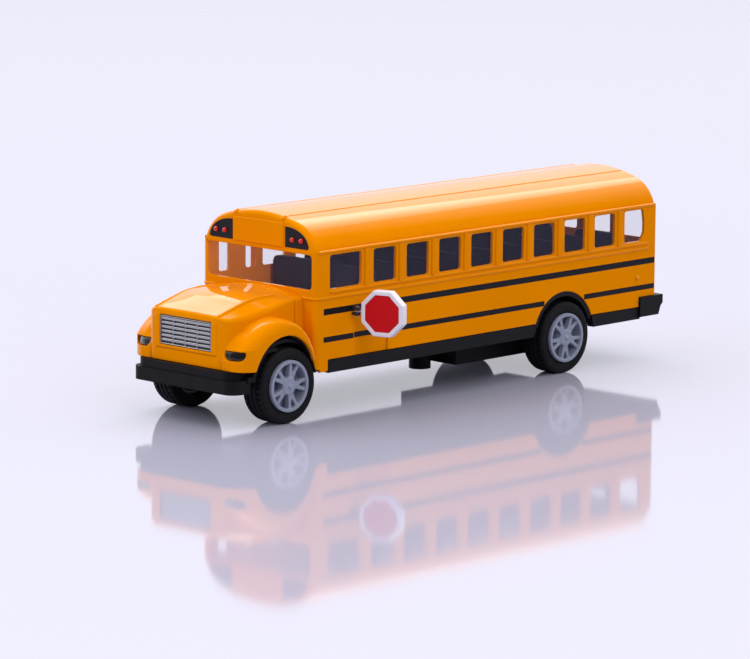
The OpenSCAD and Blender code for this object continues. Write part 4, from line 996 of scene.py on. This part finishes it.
def lamp_pair(shape):
    for x in LAMP_XS:
        turned(shape, (x, WALL_FRONT - PANEL_PROUD, LAMP_Z), (0, -1, 0),
               [(0, LAMP_R, 0, 1), (LAMP_RIM, LAMP_R, 0, 1)] + dome(LAMP_RIM, LAMP_H, LAMP_R, 7), 28)


def header_lamps():
    piece("lamp_panel_pair", both_sides(lamp_panel), "bus", panel_black, ["lamp_panels"])
    piece("warning_lamp_set", both_sides(lamp_pair), "bus", lamp_red, ["warning_lamps"])


def headlight_shell(x, y, z, outer, inner, outline):
    """Shell behind the fascia, from one depth to another, inside a left headlight's outline."""
    skin = np.maximum(fascia_field(x, y, z, outer), -fascia_field(x, y, z, inner))
    return skin, np.maximum(y - HEADLIGHT_END, 1 - x), headlight_field(x, z, outline)


def headlight_lens_field(x, y, z):
    skin, ends, outline = headlight_shell(x, y - AXLE_Y, z, 0.12, 0.55, -0.05)
    return np.maximum(round_both(skin, outline, 0.15), ends)


def headlight_ground_field(x, y, z):
    return np.maximum.reduce(headlight_shell(x, y - AXLE_Y, z, 0.8, 1.2, 0.05))


def headlights():
    low, high = (11.8, AXLE_Y - 15.5, 15.4), (19.6, AXLE_Y - 2.5, 19.0)
    pieces = (("lens", headlight_lens_field, lens, True), ("ground", headlight_ground_field, black, False))
    for label, field, finish, stands_for in pieces:
        form = field_shape(field, low, high, 0.14)
        for side, mirror in SIDES:
            piece(f"headlight_{side}_{label}", form.moved(mirror), "bus", finish,
                  [f"headlight_{side}"] if stands_for else ())


# Stop sign

HINGE = next(j for j in frame["joints"] if j["name"] == "stop_sign_swing")
SIGN_W, SIGN_T, SIGN_FACE_W, SIGN_ANGLE = 10.9, 2.2, 8.7, 18.0
SIGN_EDGE, SIGN_FRONT, SIGN_ARM_R = 1.6, -1.35, 0.75
KNUCKLE_R, KNUCKLE_GAP, KNUCKLE_H, KNUCKLE_STRAIGHT = 0.85, 0.25, 1.15, 0.4


def octagon(w, r):
    reach = w / 2 / math.cos(math.pi / 8)
    ring = [math.pi / 8 + math.pi / 4 * k for k in range(8)]
    return round_path([(reach * math.cos(a), reach * math.sin(a), r) for a in ring], 4)


def sign():
    hinge = np.array(HINGE["pos_m"]) / MM
    turn = math.radians(SIGN_ANGLE)
    along = np.array((math.cos(turn), math.sin(turn), 0))
    facing = np.array((math.sin(turn), -math.cos(turn), 0))
    centre = hinge + along * (SIGN_EDGE + SIGN_W / 2)
    board = Shape()
    front, ground, panel = (Plane(centre - facing * (SIGN_FRONT + depth), along, facing)
                            for depth in (0, 0.3, 0.16))
    pocket = octagon(SIGN_FACE_W + 0.1, 0.4)
    plate(board, front, octagon(SIGN_W, 0.5), SIGN_T, 0.35, [pocket], 0.12)
    plate(board, ground, octagon(SIGN_FACE_W + 0.6, 0.4), SIGN_T - 0.6)
    bead(board, hinge, hinge + along * 1.4, KNUCKLE_GAP * 0.8, 12, 4)
    bead(board, hinge + along * 1.75, hinge + along * 2.4, SIGN_ARM_R)
    piece("stop_board_moulding", board, "stop_sign", white, ["stop_board"])
    face = Shape()
    plate(face, panel, octagon(SIGN_FACE_W, 0.4), 0.2, 0.1)
    piece("stop_face_panel", face, "stop_sign", sign_red, ["stop_face"])
    bracket = Shape()
    reach = KNUCKLE_H - KNUCKLE_GAP
    straight = KNUCKLE_STRAIGHT * reach
    drum = [(0, 0, -1, 0), (0, KNUCKLE_R, -1, 0), (0, KNUCKLE_R, 0, 1), (straight, KNUCKLE_R, 0, 1)]
    for up in (-1, 1):
        turned(bracket, hinge + (0, 0, up * KNUCKLE_GAP), (0, 0, up),
               drum + dome(straight, reach - straight, KNUCKLE_R, 6))
        level = hinge[2] + up * (KNUCKLE_GAP + KNUCKLE_H) / 2
        bead(bracket, (*hinge[:2], level), (SIDE_X - SINK, hinge[1], level), straight, 12, 4)
    piece("stop_bracket_knuckle", bracket, "bus", bracket_brown, ["stop_bracket"])


# Pieces that keep their solids, with softened edges

def soften(node, width, finish):
    obj = frame["nodes"][node]
    obj.data.materials.clear()
    obj.data.materials.append(finish)
    if width:
        weld = obj.modifiers.new("weld", "WELD")
        weld.merge_threshold = 1e-6
        bevel = obj.modifiers.new("edges", "BEVEL")
        bevel.width = width * MM
        bevel.segments = 3
        bevel.limit_method = "ANGLE"
        bevel.angle_limit = math.radians(40)
        bevel.harden_normals = True


def solids():
    for node, width, finish in (
        ("chassis_base", 0.3, black), ("seat_moulding", 0.35, seat_black),
        ("motor_case_left", 0.3, black), ("motor_case_right", 0.3, black),
        ("chassis_screws", 0.1, steel), ("motor_screws", 0.08, steel), ("stop_hinge_pin", 0.08, steel),
        ("front_axle", 0.15, steel), ("rear_axle", 0.15, steel), ("drive_pinion", 0, gear_white),
        ("transfer_gear", 0, gear_white), ("spring_gear", 0, gear_white), ("mainspring", 0, spring_blue),
        ("spring_pin", 0.1, steel), ("transfer_pin", 0.1, steel),
    ):
        soften(node, width, finish)


# Studio

FLOOR_REACH = 8.0
SKY_BRIGHT_WAY = (-0.565, 0.59, 0.574)
LOW_SKY, HIGH_SKY = (0.92, 0.92, 1, 1), (1, 0.98, 0.93, 1)
BUS_MIDDLE = (0, 0, 0.03)
WHITE_LIGHT, WARM_LIGHT = (1, 1, 1), (1.0, 0.97, 0.9)
CABIN_LAMP = np.array((11.0, WALL_FRONT + 8.0, 40.0)) * MM
CABIN_LAMP_TARGET = np.array((-SIDE_X, WALL_FRONT + 12.0, 33.0)) * MM
# Name, place, target, width and height, power, colour, and whether glossy surfaces mirror it
LIGHTS = (
    ("left_key", (0.9, -0.35, 0.6), BUS_MIDDLE, (0.8, 0.8), 5.0, WHITE_LIGHT, False),
    ("back_softbox", (-0.486, 0.507, 0.84), BUS_MIDDLE, (1.1, 0.7), 4.2, WARM_LIGHT, True),
    ("cabin_fill", CABIN_LAMP, CABIN_LAMP_TARGET, (0.004, 0.004), 0.003, WHITE_LIGHT, False),
    ("front_fill", (-0.2, -1.0, 0.5), (0, -0.04, 0.02), (0.7, 0.7), 3.6, WHITE_LIGHT, False),
)


def floor():
    mesh = bpy.data.meshes.new("floor")
    square = ((-1, -1), (1, -1), (1, 1), (-1, 1))
    mesh.from_pydata([(x * FLOOR_REACH, y * FLOOR_REACH, 0) for x, y in square], [], [(0, 1, 2, 3)])
    mesh.materials.append(floor_grey)
    new_object("floor", mesh)


def area_light(name, place, target, size, power, colour, mirrored):
    light = bpy.data.lights.new(name, "AREA")
    light.shape = "RECTANGLE"
    light.size, light.size_y = size
    light.energy, light.color = power, colour
    obj = new_object(name, light)
    obj.location = place
    obj.rotation_euler = (Vector(target) - Vector(place)).to_track_quat("-Z", "Y").to_euler()
    obj.visible_camera = False
    obj.visible_glossy = mirrored


def studio():
    """Pale floor under a sky that is bright behind and above the bus and dark on the camera's side."""
    floor()
    world = bpy.data.worlds.new("studio")
    world.use_nodes = True
    tree = world.node_tree
    sky = tree.nodes["Background"]
    place = add_node(tree, "TexCoord")
    lean = add_node(tree, "VectorMath")
    lean.operation = "DOT_PRODUCT"
    lean.inputs[1].default_value = SKY_BRIGHT_WAY
    link(tree, place, "Generated", lean, 0)
    level = add_node(tree, "MapRange", From_Min=-0.12, From_Max=0.38, To_Min=0.12, To_Max=1.6)
    level.interpolation_type = "SMOOTHSTEP"
    link(tree, lean, "Value", level, "Value")
    split = add_node(tree, "SeparateXYZ")
    link(tree, place, "Generated", split, "Vector")
    hue = add_node(tree, "ValToRGB")
    set_ramp(hue, (0.15, 0.4), (LOW_SKY, HIGH_SKY))
    link(tree, split, "Z", hue, "Fac")
    link(tree, hue, "Color", sky, "Color")
    rise = add_node(tree, "MapRange", From_Min=0.12, From_Max=0.4, To_Min=0.68, To_Max=1.0)
    link(tree, split, "Z", rise, "Value")
    strength = add_node(tree, "Math")
    strength.operation = "MULTIPLY"
    link(tree, level, "Result", strength, 0)
    link(tree, rise, "Result", strength, 1)
    link(tree, strength, "Value", sky, "Strength")
    bpy.context.scene.world = world
    for light in LIGHTS:
        area_light(*light)


CAMERA_ANGLES = 43.65, 9.55, 0.45
CAMERA_TARGET = Vector((-1.38, 50.0 + AXLE_Y, 14.11)) * MM
CAMERA_DISTANCE, CAMERA_LENS = 1.09659, 216


def camera():
    """Camera at the photograph's viewing angle."""
    azimuth, elevation, roll = map(math.radians, CAMERA_ANGLES)
    turn = (Matrix.Rotation(azimuth, 4, "Z") @ Matrix.Rotation(math.pi / 2 - elevation, 4, "X")
            @ Matrix.Rotation(roll, 4, "Z"))
    data = bpy.data.cameras.new("camera")
    data.lens = CAMERA_LENS
    data.clip_end = 100
    obj = new_object("camera", data)
    obj.matrix_world = Matrix.Translation(CAMERA_TARGET) @ turn @ Matrix.Translation((0, 0, CAMERA_DISTANCE))
    bpy.context.scene.camera = obj


camera()
studio()
piece("cabin_casting", cabin(), "bus", yellow, ["body_shell"])
piece("nose_casting", nose(), "bus", yellow)
piece("side_stripes", stripes(), "bus", stripe_black)
piece("arch_edges", arch_lips(), "bus", black)
piece("window_panes", glazing(), "bus", glass_painted_sheen, ["window_glazing"])
linings()
grille()
wheels()
header_lamps()
headlights()
sign()
solids()

bpy.context.scene.view_settings.view_transform = "Standard"
